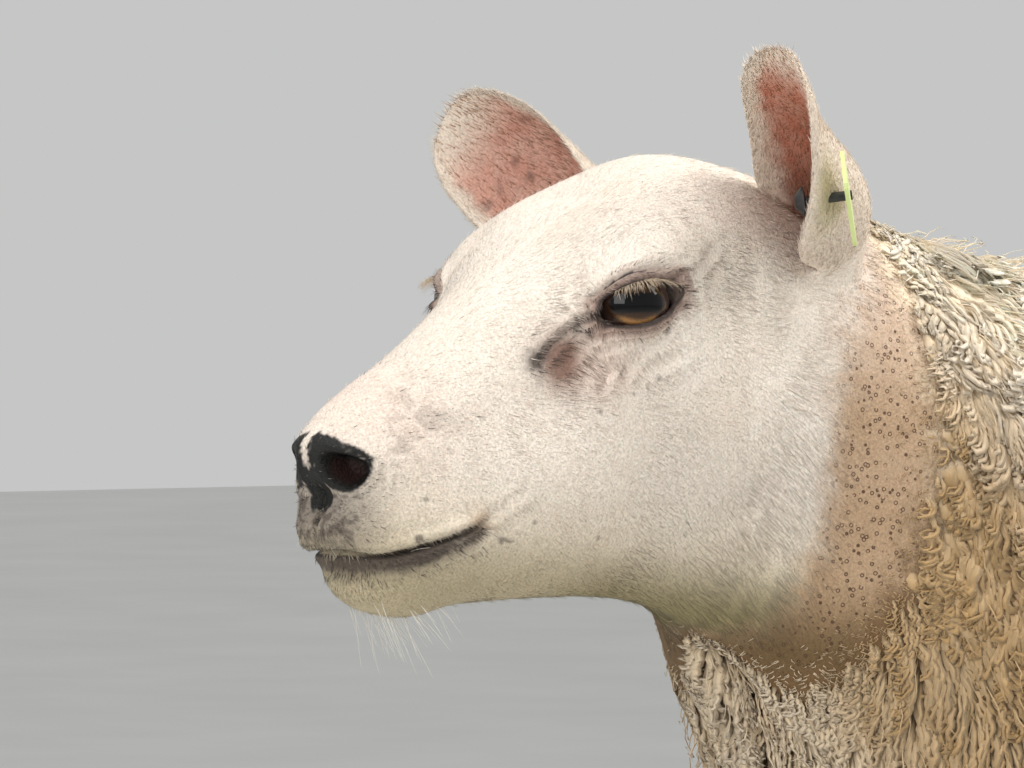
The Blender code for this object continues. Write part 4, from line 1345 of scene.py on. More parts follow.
def brightened(tree, colour, value):
    """A colour with its brightness multiplied by a value."""
    return node(tree, "ShaderNodeHueSaturation", {"Color": colour, "Value": value}).outputs["Color"]


def painted(tree, name):
    """An attribute of the mesh: its colour and its number."""
    made = node(tree, "ShaderNodeAttribute", attribute_name=name)
    return made.outputs["Color"], made.outputs["Fac"]


def bumped(tree, shader, height, distance, strength=1.0, before=None):
    """Adds a bump of a height in metres to a shader."""
    links = {"Height": height, "Distance": distance, "Strength": strength}
    if before is not None:
        links["Normal"] = before
    bump = node(tree, "ShaderNodeBump", links)
    tree.links.new(bump.outputs["Normal"], shader.inputs["Normal"])
    return bump.outputs["Normal"]


# %% Skin finish
def skin_finish():
    """Painted colour with grain, pore rings on the bare neck, a pebbled nose, and gloss where it is wet."""
    finish, tree, shader = new_finish("skin", {
        "Specular IOR Level": 0.35, "Subsurface Weight": 0.08, "Subsurface Radius": (0.006, 0.003, 0.002),
        "Subsurface Scale": 0.5})
    place = object_place(tree)
    wet, bare = painted(tree, "Wet")[1], painted(tree, "Bare")[1]
    grain, gaps = noise_node(tree, place, 900.0, 4.0), noise_node(tree, place, 420.0, 1.0)
    darker = brightened(tree, painted(tree, "Coat")[0], ramp(tree, grain, 0.3, 0.7, 0.78, 1.18))
    cells = node(tree, "ShaderNodeTexVoronoi", {"Vector": place, "Scale": 285.0, "Randomness": 0.85})
    chance = node(tree, "ShaderNodeSeparateColor", {"Color": cells.outputs["Color"]}).outputs[0]
    ring = math_node(tree, "ABSOLUTE", math_node(tree, "SUBTRACT", cells.outputs["Distance"], 0.23))
    ring = times(tree, ramp(tree, ring, 0.04, 0.1, 1.0, 0.0), ramp(tree, chance, 0.04, 0.1))
    ring = times(tree, ring, ramp(tree, gaps, 0.3, 0.42))
    dots = node(tree, "ShaderNodeTexVoronoi", {"Vector": place, "Scale": 520.0}).outputs["Distance"]
    dots = times(tree, ramp(tree, dots, 0.12, 0.24, 0.8, 0.0), ramp(tree, gaps, 0.52, 0.6))
    pores = times(tree, math_node(tree, "MAXIMUM", ring, dots), bare)
    ringed = mixed(tree, times(tree, pores, 0.9), darker, (0.075, 0.035, 0.02, 1))
    tree.links.new(ringed, shader.inputs["Base Color"])
    tree.links.new(ramp(tree, wet, 0.0, 1.0, 0.85, 0.34), shader.inputs["Roughness"])
    pebbles = node(tree, "ShaderNodeTexVoronoi", {"Vector": place, "Scale": 700.0}).outputs["Distance"]
    height = math_node(tree, "ADD", times(tree, pebbles, ramp(tree, wet, 0, 1, 0.3, 1.0)), grain)
    fine_bump = bumped(tree, shader, height, 0.0005)
    pleats = stretched_noise(tree, place, (150.0, 150.0, 22.0), 2.0)
    bumped(tree, shader, times(tree, pleats, bare), 0.0022, 0.8, fine_bump)
    return finish


skin_mesh = mesh_from("skin", placed(skin_points), [skin_triangles])
for label, values in zip(("Coat", "Wet", "Bare"), skin_colour(skin_points)):
    paint(skin_mesh, label, values)
FLESH = ("head", "neck", "trunk", "tail", "ear_left", "ear_right",
         "foreleg_left", "foreleg_right", "hindleg_left", "hindleg_right")
add_piece(skin_mesh, skin_finish(), FLESH)


# %% [markdown]
# ## Eyeballs
# A sheep's eye is a dark ball with an amber iris and a pupil that lies level, as a bar with round ends. It
# swells a little over the iris, as the cornea does. Its colours are painted on its points, and a clear coat
# on the shader makes the wet shine.

# %% Eyeballs
IRIS_WIDE, IRIS_HIGH = 12.6, 10.8
PUPIL_LONG, PUPIL_ROUND = 7.2, 4.5
PUPIL_BLACK, BALL_BACK = (0.002, 0.002, 0.003), (0.15, 0.1, 0.09)
EYE_RINGS, EYE_SIDES = 109, 144


def eye_paint(level, rise):
    """The colour at a place on the front of the eye, in mm to the rear and up from the middle of the iris."""
    size = np.hypot(level / IRIS_WIDE, rise / IRIS_HIGH)
    turn = np.arctan2(rise, level)
    fibres = 0.5 + 0.25 * np.sin(61 * turn + 9 * size) + 0.25 * np.sin(97 * turn - 14 * size)
    colour = tinted((0.02, 0.01, 0.006), (0.07, 0.034, 0.014), fibres * 0.8)
    colour = tinted(colour, (0.42, 0.21, 0.07), 0.75 * bell(size - 0.8, 0.11) * smooth(-rise, 4.0, 8.5))
    colour = tinted(colour, (0.02, 0.01, 0.006), 0.9 * smooth(size, 0.86, 1.0))
    beyond = np.hypot(np.maximum(np.abs(level) - PUPIL_LONG, 0), rise + 0.2)
    colour = tinted(colour, (0.03, 0.016, 0.009), 0.75 * falls(beyond, PUPIL_ROUND, PUPIL_ROUND + 1.8))
    colour = tinted(colour, PUPIL_BLACK, falls(beyond, PUPIL_ROUND - 0.9, PUPIL_ROUND + 0.5))
    white = tinted((0.045, 0.026, 0.02), (0.17, 0.12, 0.1), smooth(size, 1.5, 2.0))
    return tinted(colour, white, smooth(size, 0.97, 1.06))


def eye_mesh(name, hand):
    """One eyeball: a ball of rings about the line of sight, which bulges a little at the front."""
    off = math.pi * np.linspace(0, 1, EYE_RINGS + 2)[1:-1, None] ** 1.5
    turn = np.arange(EYE_SIDES)[None] * 2 * math.pi / EYE_SIDES
    bulge = EYE_RADIUS * (1 + 0.035 * bell(off, 0.62)) - 0.25
    level = bulge * np.sin(off) * np.cos(turn)
    rise = bulge * np.sin(off) * np.sin(turn)
    depth = bulge * np.cos(off) + 0 * turn
    arrows = level[..., None] * slit_level + rise[..., None] * eye_up + depth[..., None] * eye_out
    poles = np.array([eye_out * EYE_RADIUS * 1.035, -eye_out * EYE_RADIUS])
    points, faces = closed_tube((arrows + EYE_CENTRE) * (hand, 1, 1), (poles + EYE_CENTRE) * (hand, 1, 1))
    mesh = mesh_from(name, placed(points), faces)
    colour = np.where((depth > 0)[..., None], eye_paint(level + 2.6, rise + 0.3), BALL_BACK)
    paint(mesh, "Coat", np.vstack([colour.reshape(-1, 3), PUPIL_BLACK, BALL_BACK]))
    return mesh


def eye_finish():
    """Painted iris and pupil under a clear wet coat."""
    finish, tree, shader = new_finish("eye", {"Roughness": 0.5, "Specular IOR Level": 0.0, "Coat Weight": 1.0,
                                              "Coat Roughness": 0.03, "Coat IOR": 1.33})
    streaks = noise_node(tree, object_place(tree), 1500.0, 3.0)
    colour = brightened(tree, painted(tree, "Coat")[0], ramp(tree, streaks, 0.3, 0.7, 0.75, 1.25))
    tree.links.new(colour, shader.inputs["Base Color"])
    return finish


eye_shine = eye_finish()
for side, hand in SIDES:
    add_piece(eye_mesh("eyeball_" + side, hand), eye_shine, ["eye_" + side])

# %% [markdown]
# ## Growing a coat
# Hair and wool grow from places drawn by chance over the skin's triangles, by their areas and the coat's
# density. Each tuft knows its root, the arrow out of the skin there, and the lie of the coat, which is an
# arrow laid flat on the skin. Tufts are closed tubes around a middle line, made for thousands at once.

# %% Roots
triangle_arrows = area_arrows(skin_points, skin_triangles)
triangle_areas = np.linalg.norm(triangle_arrows, axis=1) / 2
triangle_middles = skin_points[skin_triangles].mean(axis=1)


def grown_roots(count, density):
    """Roots and outward arrows of about count tufts, spread over the skin by area times density.

    Places are drawn evenly along the running total of all triangles' shares, so they spread more evenly than
    chance alone would.
    """
    share = triangle_areas * density
    total = np.cumsum(share)
    drawn = (np.arange(count) + LUCK.uniform(0, 1, count)) / count * total[-1]
    chosen = np.searchsorted(total, drawn).clip(0, len(total) - 1)
    one, two = LUCK.uniform(0, 1, (2, count, 1))
    over = one + two > 1
    one, two = np.where(over, 1 - one, one), np.where(over, 1 - two, two)
    a, b, c = (skin_points[skin_triangles[chosen, corner]] for corner in range(3))
    n, m, k = (skin_normals[skin_triangles[chosen, corner]] for corner in range(3))
    return a + one * (b - a) + two * (c - a), unit(n + one * (m - n) + two * (k - n)), chosen


soft_normals = relaxed(skin_normals.copy(), skin_triangles, np.ones(len(skin_points)), 6)


def bend_along(chosen, lie):
    """How fast the skin curves away along the lie, per mm: how its soft arrows turn over a triangle."""
    a, b, c = (skin_points[skin_triangles[chosen, corner]] for corner in range(3))
    n, m, k = (soft_normals[skin_triangles[chosen, corner]] for corner in range(3))
    one, two = b - a, c - a
    oo, tt, ot = dot(one, one), dot(two, two), dot(one, two)
    lo, lt = dot(lie, one), dot(lie, two)
    scale = np.maximum(oo * tt - ot**2, 1e-4)
    x, y = (lo * tt - lt * ot) / scale, (lt * oo - lo * ot) / scale
    return np.clip(dot(lie, x[:, None] * (m - n) + y[:, None] * (k - n)), -0.03, 0.05)


def laid_flat(arrows, outward):
    """Arrows without the part that points out of the skin, at length 1."""
    return unit(arrows - outward * dot(arrows, outward)[..., None])


# %% Tubes along many lines at once
def tubes(lines, wide, deep, outward, sides):
    """Points and faces of closed tapering tubes, one along each middle line.

    lines is tufts x places x 3. wide and deep are half sizes across and out of the skin, tufts x places.
    A ring of points stands around each place but the last, which is the tip.
    """
    tufts, places = lines.shape[:2]
    tangent = unit(np.gradient(lines, axis=1))
    out = unit(outward[:, None] - tangent * dot(outward[:, None], tangent)[..., None])
    across = np.cross(tangent, out)
    a = (np.arange(sides) + 0.5) * 2 * math.pi / sides
    rings = (lines[:, :-1, None] + across[:, :-1, None] * (wide[:, :-1, None, None] * np.sin(a)[:, None])
             + out[:, :-1, None] * (deep[:, :-1, None, None] * np.cos(a)[:, None]))
    each = (places - 1) * sides + 1
    points = np.concatenate([rings.reshape(tufts, -1, 3), lines[:, -1:]], axis=1)
    first = (np.arange(tufts) * each)[:, None, None]
    walls = tube_faces(places - 1, sides)[None] + first
    tips = fan_faces(np.arange(sides) + (places - 2) * sides, each - 1)[None] + first
    ends = np.arange(sides)[::-1][None, None] + first
    faces = [walls.reshape(-1, 4), tips.reshape(-1, 3), ends.reshape(-1, sides)]
    around = np.tile(0.5 + 0.5 * np.sin(a), places - 1)
    patch = np.stack([np.append(around, 0.5), np.append(np.repeat(np.arange(places - 1), sides), places - 1)
                      / (places - 1)], axis=-1)
    return points.reshape(-1, 3), faces, np.tile(patch, (tufts, 1)), each


PATCH = 0.003  # the size of a tuft's patch on the map


def map_tufts(mesh, roots, patch, each):
    """Gives a coat its OFBake map: a small patch for each tuft, at its root's place on an unwrap of the skin
    that runs around it from the back line, and from nose to rump."""
    steps, angle = body_place(roots)
    home = np.stack([0.5 + 0.96 * angle / (2 * math.pi), 0.02 + 0.96 * steps / RUMP], axis=-1)
    home = np.repeat(home, each, axis=0)
    corners = np.empty(len(mesh.loops), np.int32)
    mesh.loops.foreach_get("vertex_index", corners)
    layer = mesh.uv_layers.new(name="OFBake")
    layer.data.foreach_set("uv", (home + (patch - 0.5) * PATCH)[corners].astype(np.float32).ravel())


def coat_piece(name, tufts, roots, painting, finish):
    """One piece of coat from its tubes, their roots, and what is painted on its points."""
    points, faces, patch, each = tufts
    mesh = mesh_from(name, placed(points), faces)
    for label, values in painting.items():
        paint(mesh, label, values)
    map_tufts(mesh, roots, patch, each)
    add_piece(mesh, finish)


# %% [markdown]
# ## Short hair
# The face, ears and shanks have hair a few millimetres long that lies flat. Each hair is a slim spike with
# three sides. It flows back from the nose, turns down over the cheeks and parts around the eyes, and here
# and there one stands up, which softens the outline.

# %% Lie and length of the hair
def lie_of_hair(points, outward):
    """The way hair lies: back, down over the cheeks, away from the eyes, up the ears and down the legs."""
    place = to_left(points)
    side, behind, up = np.moveaxis(place, -1, 0)
    hand = np.sign(points[..., 0])
    down = 0.25 + 0.75 * smooth(-up + 0.3 * behind, 10, 110) * falls(up, 65, 105)
    arrows = np.stack([0.25 * hand * smooth(up, 40, 80), np.ones_like(up), -down], axis=-1)
    from_eye_middle = place - EYE_CENTRE
    far = np.linalg.norm(from_eye_middle, axis=-1)
    mirror = np.stack([hand, np.ones_like(hand), np.ones_like(hand)], axis=-1)
    parting = 1.6 * bell(far - 18, 12) * smooth(side, 16, 42)
    arrows = arrows + unit(from_eye_middle) * mirror * parting[..., None]
    nose = place - (0, 6, -20)
    arrows = arrows + unit(nose) * mirror * bell(np.linalg.norm(nose, axis=-1), 34)[..., None]
    wander = noise_arrows(points, 14.0, (31, 32, 33))
    arrows = arrows + 0.6 * wander
    on_ear = ear_inside(points)[1][..., None]
    for_ear = np.where(points[..., 0:1] > 0, ear_axes(1)[0], ear_axes(-1)[0])
    arrows = arrows * (1 - on_ear) + (for_ear + 0.5 * wander) * on_ear
    on_leg = smooth(-up, 320, 360)[..., None]
    arrows = arrows * (1 - on_leg) + (np.array((0, 0.25, -1.0)) + 0.5 * wander) * on_leg
    return laid_flat(arrows, outward)


def hair_length(points):
    """Length of the short hair in mm."""
    place = to_left(points)
    side, behind, up = np.moveaxis(place, -1, 0)
    longer = 1.5 * smooth(-up, 20, 80) + 1.5 * smooth(behind, 190, 250)
    length = 3.0 + 3.2 * smooth(behind, 10, 120) + longer * (behind < 300)
    near_eye = bell(np.linalg.norm(place - EYE_CENTRE, axis=-1) - EYE_RADIUS, 7.0)
    length = length * (1 - 0.45 * near_eye * (behind < 300))
    length = np.where(ear_inside(points)[1] > 0.5, 4.6, length)
    return np.where(up < -330, 6.0, length)


def hair_density(points, outward):
    """1 where short hair grows, 0 on leather, lips, lids' edges, eye pockets and under wool."""
    place = to_left(points)
    behind, height = place[..., 1], place[..., 2] - GROUND
    _, _, black, _, _, inside_ear, lips = markings(points)
    steps, angle = body_place(points)
    hair_stop = strip_at(angle)[0]
    on_body = falls(steps, hair_stop - 0.4, hair_stop + 0.4)
    medial = smooth(-np.sign(points[..., 0]) * ear_place(points)[2], -0.1, 0.35)
    on_ear = 1 - (0.75 - 0.45 * medial) * inside_ear
    grows = np.where(height < 400, falls(height, 330, 375), on_body)
    grows = np.where(ear_inside(points)[1] > 0.5, on_ear, grows)
    far, off, turn, gap = off_lid(place)
    facing = dot(outward * np.where(points[..., :1] < 0, (-1, 1, 1), (1, 1, 1)), unit(place - EYE_CENTRE))
    pocket = ((far < EYE_RADIUS + 2.2) & (facing < 0.2)) | ((far < EYE_RADIUS + 6) & (gap < 0.4))
    pocket = pocket & (behind > 100) & (behind < 200)
    nostril = falls(nostril_share(points), 0.85, 1.0) * (behind < 60)
    return grows * (1 - np.clip(0.8 * black + nostril, 0, 1)) * (1 - lips) * ~pocket * (height > 46)


def spikes(roots, outward, lie, lengths, widths, lift, bend):
    """Closed slim spikes with three sides, rooted just under the skin. Each tip stands its lift above the
    skin, which has curved away by half the bend times the length squared."""
    t = np.array((0.0, 1.0))[None, :, None]
    lift = lift - 0.5 * bend * lengths**2
    start = roots - outward * 0.4
    lines = start[:, None] + lie[:, None] * (lengths[:, None, None] * t)
    lines = lines + outward[:, None] * ((0.4 + lift)[:, None, None] * t)
    wide = widths[:, None] * np.array((1.0, 0.0))
    return tubes(lines, wide, wide * 0.62, outward, 3)


# %% Hair on face, ears and shanks
def hair_piece(name, count, mask, finish, width=0.235, lift=0.24, stray=0.04):
    """Short hair over the part of the skin where mask is 1."""
    roots, outward, chosen = grown_roots(count, triangle_hair * mask)
    lie = lie_of_hair(roots, outward)
    lie = laid_flat(lie + 0.13 * LUCK.normal(0, 1, roots.shape), outward)
    lengths = 1.2 * hair_length(roots) * LUCK.uniform(0.7, 1.3, count)
    standing = LUCK.uniform(0, 1, count) < stray
    rise = np.where(standing, LUCK.uniform(0.7, 2.0, count), LUCK.uniform(0.2, 1.0, count) * lift)
    colour, dark, black, _, _, inside_ear, _ = markings(roots)
    is_dark = LUCK.uniform(0, 1, count) < np.clip(1.15 * dark, 0, 1)
    tone = LUCK.normal(1.0, 0.07, (count, 1))
    darks = np.array(LIP_DARK) * LUCK.uniform(0.5, 1.8, (count, 1))
    rgb = np.where(is_dark[:, None], darks, colour * tone * 1.06)
    rgb = tinted(rgb, (0.03, 0.03, 0.028), black * LUCK.uniform(0.6, 1.0, count))
    rgb = tinted(rgb, (0.36, 0.16, 0.08), 0.85 * inside_ear * (LUCK.uniform(0, 1, count) < 0.85))
    widths = width * LUCK.uniform(0.75, 1.3, count)
    hairs = spikes(roots, outward, lie, lengths, widths, rise, bend_along(chosen, lie))
    painting = {"Coat": np.repeat(np.clip(rgb, 0, 1), hairs[3], axis=0), "Along": hairs[2][:, 1]}
    coat_piece(name, hairs, roots, painting, finish)


def hair_finish(name):
    """Painted hair colour, darker at the root as painted shade, with a soft sheen."""
    finish, tree, shader = new_finish(name, {"Roughness": 0.75, "Sheen Weight": 0.06, "Sheen Roughness": 0.5,
                                             "Specular IOR Level": 0.3})
    grain = ramp(tree, noise_node(tree, object_place(tree), 500.0, 2.0), 0.3, 0.7, 0.9, 1.1)
    # Painted shade at each hair's root, where the hairs shade each other and the skin.
    along = ramp(tree, painted(tree, "Along")[1], 0.0, 0.7, 0.92, 1.04)
    colour = brightened(tree, painted(tree, "Coat")[0], times(tree, along, grain))
    tree.links.new(colour, shader.inputs["Base Color"])
    return finish


triangle_hair = hair_density(triangle_middles, unit(triangle_arrows))
middle_up = triangle_middles[:, 2]
on_ears = ear_inside(triangle_middles)[1] > 0.5
on_head = ~on_ears & (middle_up > -300)
short_hair = hair_finish("short_hair")
FACE_HAIRS, EAR_HAIRS, SHANK_HAIRS = 49000, 7000, 12000
for side, hand in SIDES:
    on_side = hand * triangle_middles[:, 0] > 0
    hair_piece(f"face_hair_{side}", FACE_HAIRS, on_head * on_side, short_hair)
    hair_piece(f"ear_hair_{side}", EAR_HAIRS, on_ears * on_side, short_hair,
               width=0.27, lift=1.0, stray=0.25)
hair_piece("shank_hair", SHANK_HAIRS, middle_up < -300, short_hair, width=0.42, lift=0.9)


# %% [markdown]
# ## Wool
# A fleece is made of staples: locks of crimped wool that lie over each other like tiles. On the side of the
# neck they are narrow and hang down in waves, on the nape they are loose curls, and on the body they are
# broad and blunt. Every lock is a flattened tube along a crimped line that leaves the skin, bends over to
# the lie of the wool and stays within the coat's depth.

# %% Lie of the wool, and its depth
def lie_of_wool(points, outward):
    """The way locks hang: down the neck, back and down over the body, back along the spine, and in eddies."""
    steps, angle = body_place(points)
    turn = np.abs(np.degrees(angle))
    hand = np.sign(points[..., 0])
    top = 1 - smooth(turn, 14, 52)
    neck = 1 - smooth(steps, 15.5, 18.5)
    down = 1 - 0.9 * top
    back = 0.1 * neck + 0.55 * (1 - neck) + 0.75 * top
    arrows = np.stack([hand * (0.35 * top - 0.1 * smooth(turn, 110, 170)), back, -down], axis=-1)
    eddy, ruffle = noise_arrows(points, 30.0, (41, 42, 43)), noise_arrows(points, 9.0, (44, 45, 46))
    return laid_flat(arrows + (0.7 + 1.5 * top)[..., None] * eddy + 0.7 * ruffle, outward)


LEG_TOP, TAIL_FROM = 470.0, 1235.0  # lower above the ground is leg, and further behind is tail


def wool_depth(points):
    """The coat's depth over the skin: that of the body, less on the legs and the tail."""
    steps, angle = body_place(points)
    height = points[..., 2] - GROUND
    depth = coat_depth(steps, angle)
    depth = np.where(height < LEG_TOP, np.minimum(depth, leg_coat("fore", height)), depth)
    return np.where(points[..., 1] > TAIL_FROM, np.minimum(depth, TAIL_COAT + 3.0), depth)


def crimped(roots, outward, lie, lengths, rise, t, style, leader):
    """Middle lines of locks: lifted early and then level, waving across the lie, and curling at the tip.

    style holds waves, their swing, turns and radius of the tip's curl, radius of the body they hug, droop of
    the tips, and radius of a curl along the whole length. Locks with the same leader share their chances, so
    that they wave and curl together as one clump.
    """
    waves, swing, turns, curl, hug, droop, coil = style
    across = np.cross(lie, outward)
    t = t[None, :]
    count = len(roots)

    def shared(low, high):
        return (LUCK.uniform(low, high, count)[leader] * LUCK.uniform(0.94, 1.06, count))[:, None]

    beat = 2 * math.pi * (1.6 * noise(roots[leader], 16.0, 51) + LUCK.normal(0, 0.05, count))[:, None]
    along = lengths[:, None] * t
    lift = rise[:, None] * (1 - (1 - t) ** 2.1) - along**2 / (2 * hug) - 0.8
    swell = swing * shared(0.6, 1.3) * (0.25 + 0.75 * t)
    pace = 2 * math.pi * waves * shared(0.88, 1.12) * t
    wave = swell * np.sin(pace + beat)
    wave_up = 0.25 * swell * np.cos(pace + beat)
    coil_size = coil * shared(0.6, 1.3) * smooth(t, 0.1, 0.6)
    hand = np.where(shared(0, 1) < 0.5, -1, 1)
    round_it = hand * 2 * math.pi * 1.9 * t + beat
    end = smooth(t, 0.62, 1.0)
    spin = hand * 2 * math.pi * turns * shared(0.6, 1.2) * end
    tip = curl * shared(0.5, 1.4)
    wave = wave + coil_size * np.sin(round_it) + tip * hand * (1 - np.cos(spin))
    wave_up = wave_up + 0.35 * coil_size * (1 + np.cos(round_it)) + 0.2 * tip * np.abs(np.sin(spin))
    along = along - lengths[:, None] * 0.5 * end**2 * (turns > 0) * 0.35 + tip * hand * np.sin(spin) * 0.6
    line = roots[:, None] + lie[:, None] * along[..., None] + outward[:, None] * (lift + wave_up)[..., None]
    line = line + across[:, None] * wave[..., None]
    return line - np.array((0, 0, 1.0)) * (droop * lengths[:, None] * t**2)[..., None]


def wool_colours(roots, t, sides):
    """Colour of each point of each lock: pale on the back, browner and duller lower down with grime and
    painted shade.
    """
    steps, angle = body_place(roots)
    turn = np.abs(np.degrees(angle))
    tone = np.clip(LUCK.normal(1.0, 0.06, len(roots)) + 0.28 * (noise(roots, 22.0, 61) - 0.5), 0.7, 1.25)
    # Browner and darker lower on the body: partly grime, partly painted shade.
    grime_and_shade = np.clip(0.25 * noise(roots, 60.0, 62) + 1.1 * smooth(turn, 24, 104) - 0.12, 0, 0.93)
    grime_and_shade = grime_and_shade * (1 - 0.5 * smooth(turn, 120, 158) * falls(steps, 15.4, 16.4))
    tip = tinted(WOOL_TIP, WOOL_GRIME_SHADE, grime_and_shade) * tone[:, None]
    middle = tinted(WOOL_MIDDLE, WOOL_GRIME_SHADE, grime_and_shade * 0.8) * tone[:, None]
    # The root colour lower on the body is dark brown: painted shade under the locks.
    root = tinted(WOOL_PALE, WOOL_ROOT_SHADE, smooth(turn, 55, 120))
    lower = tinted(root[:, None], middle[:, None], smooth(t, 0.0, 0.3)[None])
    colours = tinted(lower, tip[:, None], smooth(t, 0.3, 0.8)[None])
    rings = np.repeat(colours[:, :-1], sides, axis=1)
    return np.concatenate([rings, colours[:, -1:]], axis=1).reshape(-1, 3)


def gathered(roots, lie, each, stretch):
    """For each lock, the number of its clump's leader: the nearest of a few chosen locks.

    A clump is longer along the lie than across it by 1 / stretch, so that locks gather into hanging ropes.
    """
    chosen = LUCK.choice(len(roots), max(len(roots) // each, 1), replace=False)
    away = roots[chosen][None] - roots[:, None]
    along = np.einsum("ijk,ik->ij", away, lie)
    return chosen[np.argmin((away**2).sum(axis=-1) - (1 - stretch**2) * along**2, axis=1)]


def wool_piece(name, count, mask, wide, length, t, style, clump, lift=1.0, thick=0.45, taper=0.85, sides=3):
    """Locks over the part of the skin where mask is 1, shorter where the wool begins, gathered into clumps.

    clump holds how many locks are in each, its stretch, and how far the locks lean to their leader.
    """
    roots, outward, chosen = grown_roots(count, mask)
    steps, angle = body_place(roots)
    height = roots[:, 2] - GROUND
    young = 0.22 + 0.78 * smooth(steps - strip_at(angle)[1], -0.3, 0.55)
    young = np.where(height < LEG_TOP, 0.35 + 0.65 * smooth(height, 360, 460), young)
    young = np.where(roots[:, 1] > TAIL_FROM, 0.75, young)
    lie = lie_of_wool(roots, outward)
    each_clump, stretch, pull = clump
    leader = gathered(roots, lie, each_clump, stretch)
    lie = laid_flat(lie[leader] + 0.3 * lie + 0.06 * LUCK.normal(0, 1, lie.shape), outward)
    throat = smooth(np.abs(np.degrees(angle)), 118, 150) * falls(steps, 15.2, 16.6)
    lengths = length * young * (1 - 0.45 * throat) * LUCK.uniform(0.8, 1.2, count)[leader]
    lengths = lengths * LUCK.uniform(0.88, 1.12, count)
    rise = wool_depth(roots) * lift * LUCK.uniform(0.8, 1.08, count)
    lines = crimped(roots, outward, lie, lengths, rise, t, style, leader)
    away = roots[leader] - roots
    away = away - lie * (0.6 * dot(away, lie))[:, None]
    lines = lines + away[:, None] * (pull * young[:, None] * smooth(t, 0.0, 0.8))[..., None]
    girth = wide * LUCK.uniform(0.7, 1.3, count)[:, None] * (0.45 + 0.55 * young[:, None])
    profile = (0.7 + 0.3 * smooth(t, 0, 0.3)) * (1 - taper * t**2.4)
    girth = girth * profile[None, :] * LUCK.uniform(0.82, 1.18, (count, len(t)))
    locks = tubes(lines, girth, girth * thick, outward, sides)
    patch, each = locks[2:]
    colours = np.clip(wool_colours(roots, t, sides), 0, 1)
    seed = np.repeat(LUCK.uniform(0, 50, count), each)
    along = np.repeat(lengths, each) * patch[:, 1]
    fibre = np.stack([(patch[:, 0] - 0.5) * wide * 3.2, along * 0.14, seed], axis=-1)
    coat_piece(name, locks, roots, {"Coat": colours, "Fibre": fibre}, fleece)


# %% Fleece finish
def wool_finish(name):
    """Painted colour with fine fibres that run along each lock, in colour and in bump, and a soft sheen."""
    finish, tree, shader = new_finish(name, {"Roughness": 0.85, "Sheen Weight": 0.4, "Sheen Roughness": 0.6,
                                             "Sheen Tint": (1.0, 0.84, 0.62, 1), "Specular IOR Level": 0.2})
    strands = noise_node(tree, painted(tree, "Fibre")[0], 1.3, 4.0)
    colour = brightened(tree, painted(tree, "Coat")[0], ramp(tree, strands, 0.3, 0.7, 0.84, 1.12))
    tree.links.new(colour, shader.inputs["Base Color"])
    bumped(tree, shader, strands, 0.0005, 0.6)
    return finish


fleece = wool_finish("fleece")
middle_step, middle_angle = body_place(triangle_middles)
middle_height = middle_up - GROUND
behind_face = ~on_ears * (triangle_middles[:, 1] > 190)
past_start = middle_step - strip_at(middle_angle)[1]
woolly = smooth(past_start, -0.3, 0.22) * behind_face
woolly = np.where(middle_height < LEG_TOP, smooth(middle_height, 345, 400), woolly)
woolly = woolly * (1 + 1.7 * falls(middle_step, 16.0, 18.6))  # locks stand closest on the neck
is_neck = (middle_step < 16.1) & (middle_height > LEG_TOP)
middle_turn = np.abs(np.degrees(middle_angle))
is_nape = is_neck & (middle_turn < 58)
is_upper = is_neck & ~is_nape & (middle_turn < 108)
left_side = triangle_middles[:, 0] > 0
NECK_T = np.concatenate([(0, 0.15, 0.29), np.linspace(0.4, 1, 12)])
BODY_T = np.concatenate([(0, 0.18), np.linspace(0.36, 1, 8)])
# waves, swing, turns and size of the tip's curl, radius hugged, droop, size of a whole-length coil
HANGING = (5.0, 1.35, 1.0, 2.0, 95.0, 0.05, 0.3)
CURLING = (1.8, 1.4, 1.2, 3.8, 90.0, 0.0, 2.4)
LOOSE = (2.6, 1.8, 1.2, 3.2, 95.0, 0.02, 1.6)
STAPLE = (3.2, 1.8, 1.0, 3.2, 230.0, 0.05, 0.8)
PUFF = (1.3, 1.6, 0.35, 3.0, 90.0, 0.0, 0.0)  # short fat tufts that fill the space under the neck's locks
DOWN = (1.4, 0.8, 0.9, 1.2, 300.0, 0.0, 0.5)
WISP = (2.4, 1.4, 1.3, 2.4, 300.0, 0.0, 1.4)
for side, on_side, more in (("left", left_side, 1.0), ("right", ~left_side, 0.56)):
    for part, chosen, count, wide, length, style, clump in (
        ("nape", is_nape, 1050, 3.5, 36, CURLING, (9, 0.9, 0.5)),
        ("upper", is_upper, 1250, 2.9, 38, LOOSE, (8, 0.55, 0.6)),
        ("lower", is_neck & ~is_nape & ~is_upper, 1500, 1.9, 44, HANGING, (6, 0.25, 0.75)),
    ):
        if part != "lower":
            wool_piece(f"neck_puffs_{part}_{side}", int(420 * more), woolly * on_side * chosen, 6.0, 30,
                       np.linspace(0, 1, 6), PUFF, (1, 1.0, 0.0), lift=0.62, thick=0.5, taper=0.9, sides=5)
        wool_piece(f"neck_wool_{part}_{side}", int(count * more), woolly * on_side * chosen,
                   wide / math.sqrt(more), length, NECK_T, style, clump, thick=0.42)
    for part, low, high in (("front", 0.0, 640.0), ("rear", 640.0, 2000.0)):
        chosen = (triangle_middles[:, 1] > low) & (triangle_middles[:, 1] <= high) & ~is_neck
        wool_piece(f"body_wool_{part}_{side}", 1300, woolly * on_side * chosen, 4.6, 50, BODY_T, STAPLE,
                   (4, 0.6, 0.5), taper=0.75)

# %% Short down where the wool begins
edge_mask = bell(past_start + 0.05, 0.34) * behind_face * is_neck * (0.45 + 0.55 * left_side)
wool_piece("neck_down", 2600, edge_mask, 0.5, 14, np.linspace(0, 1, 6), DOWN, (4, 0.8, 0.5),
           lift=0.55, thick=0.8)

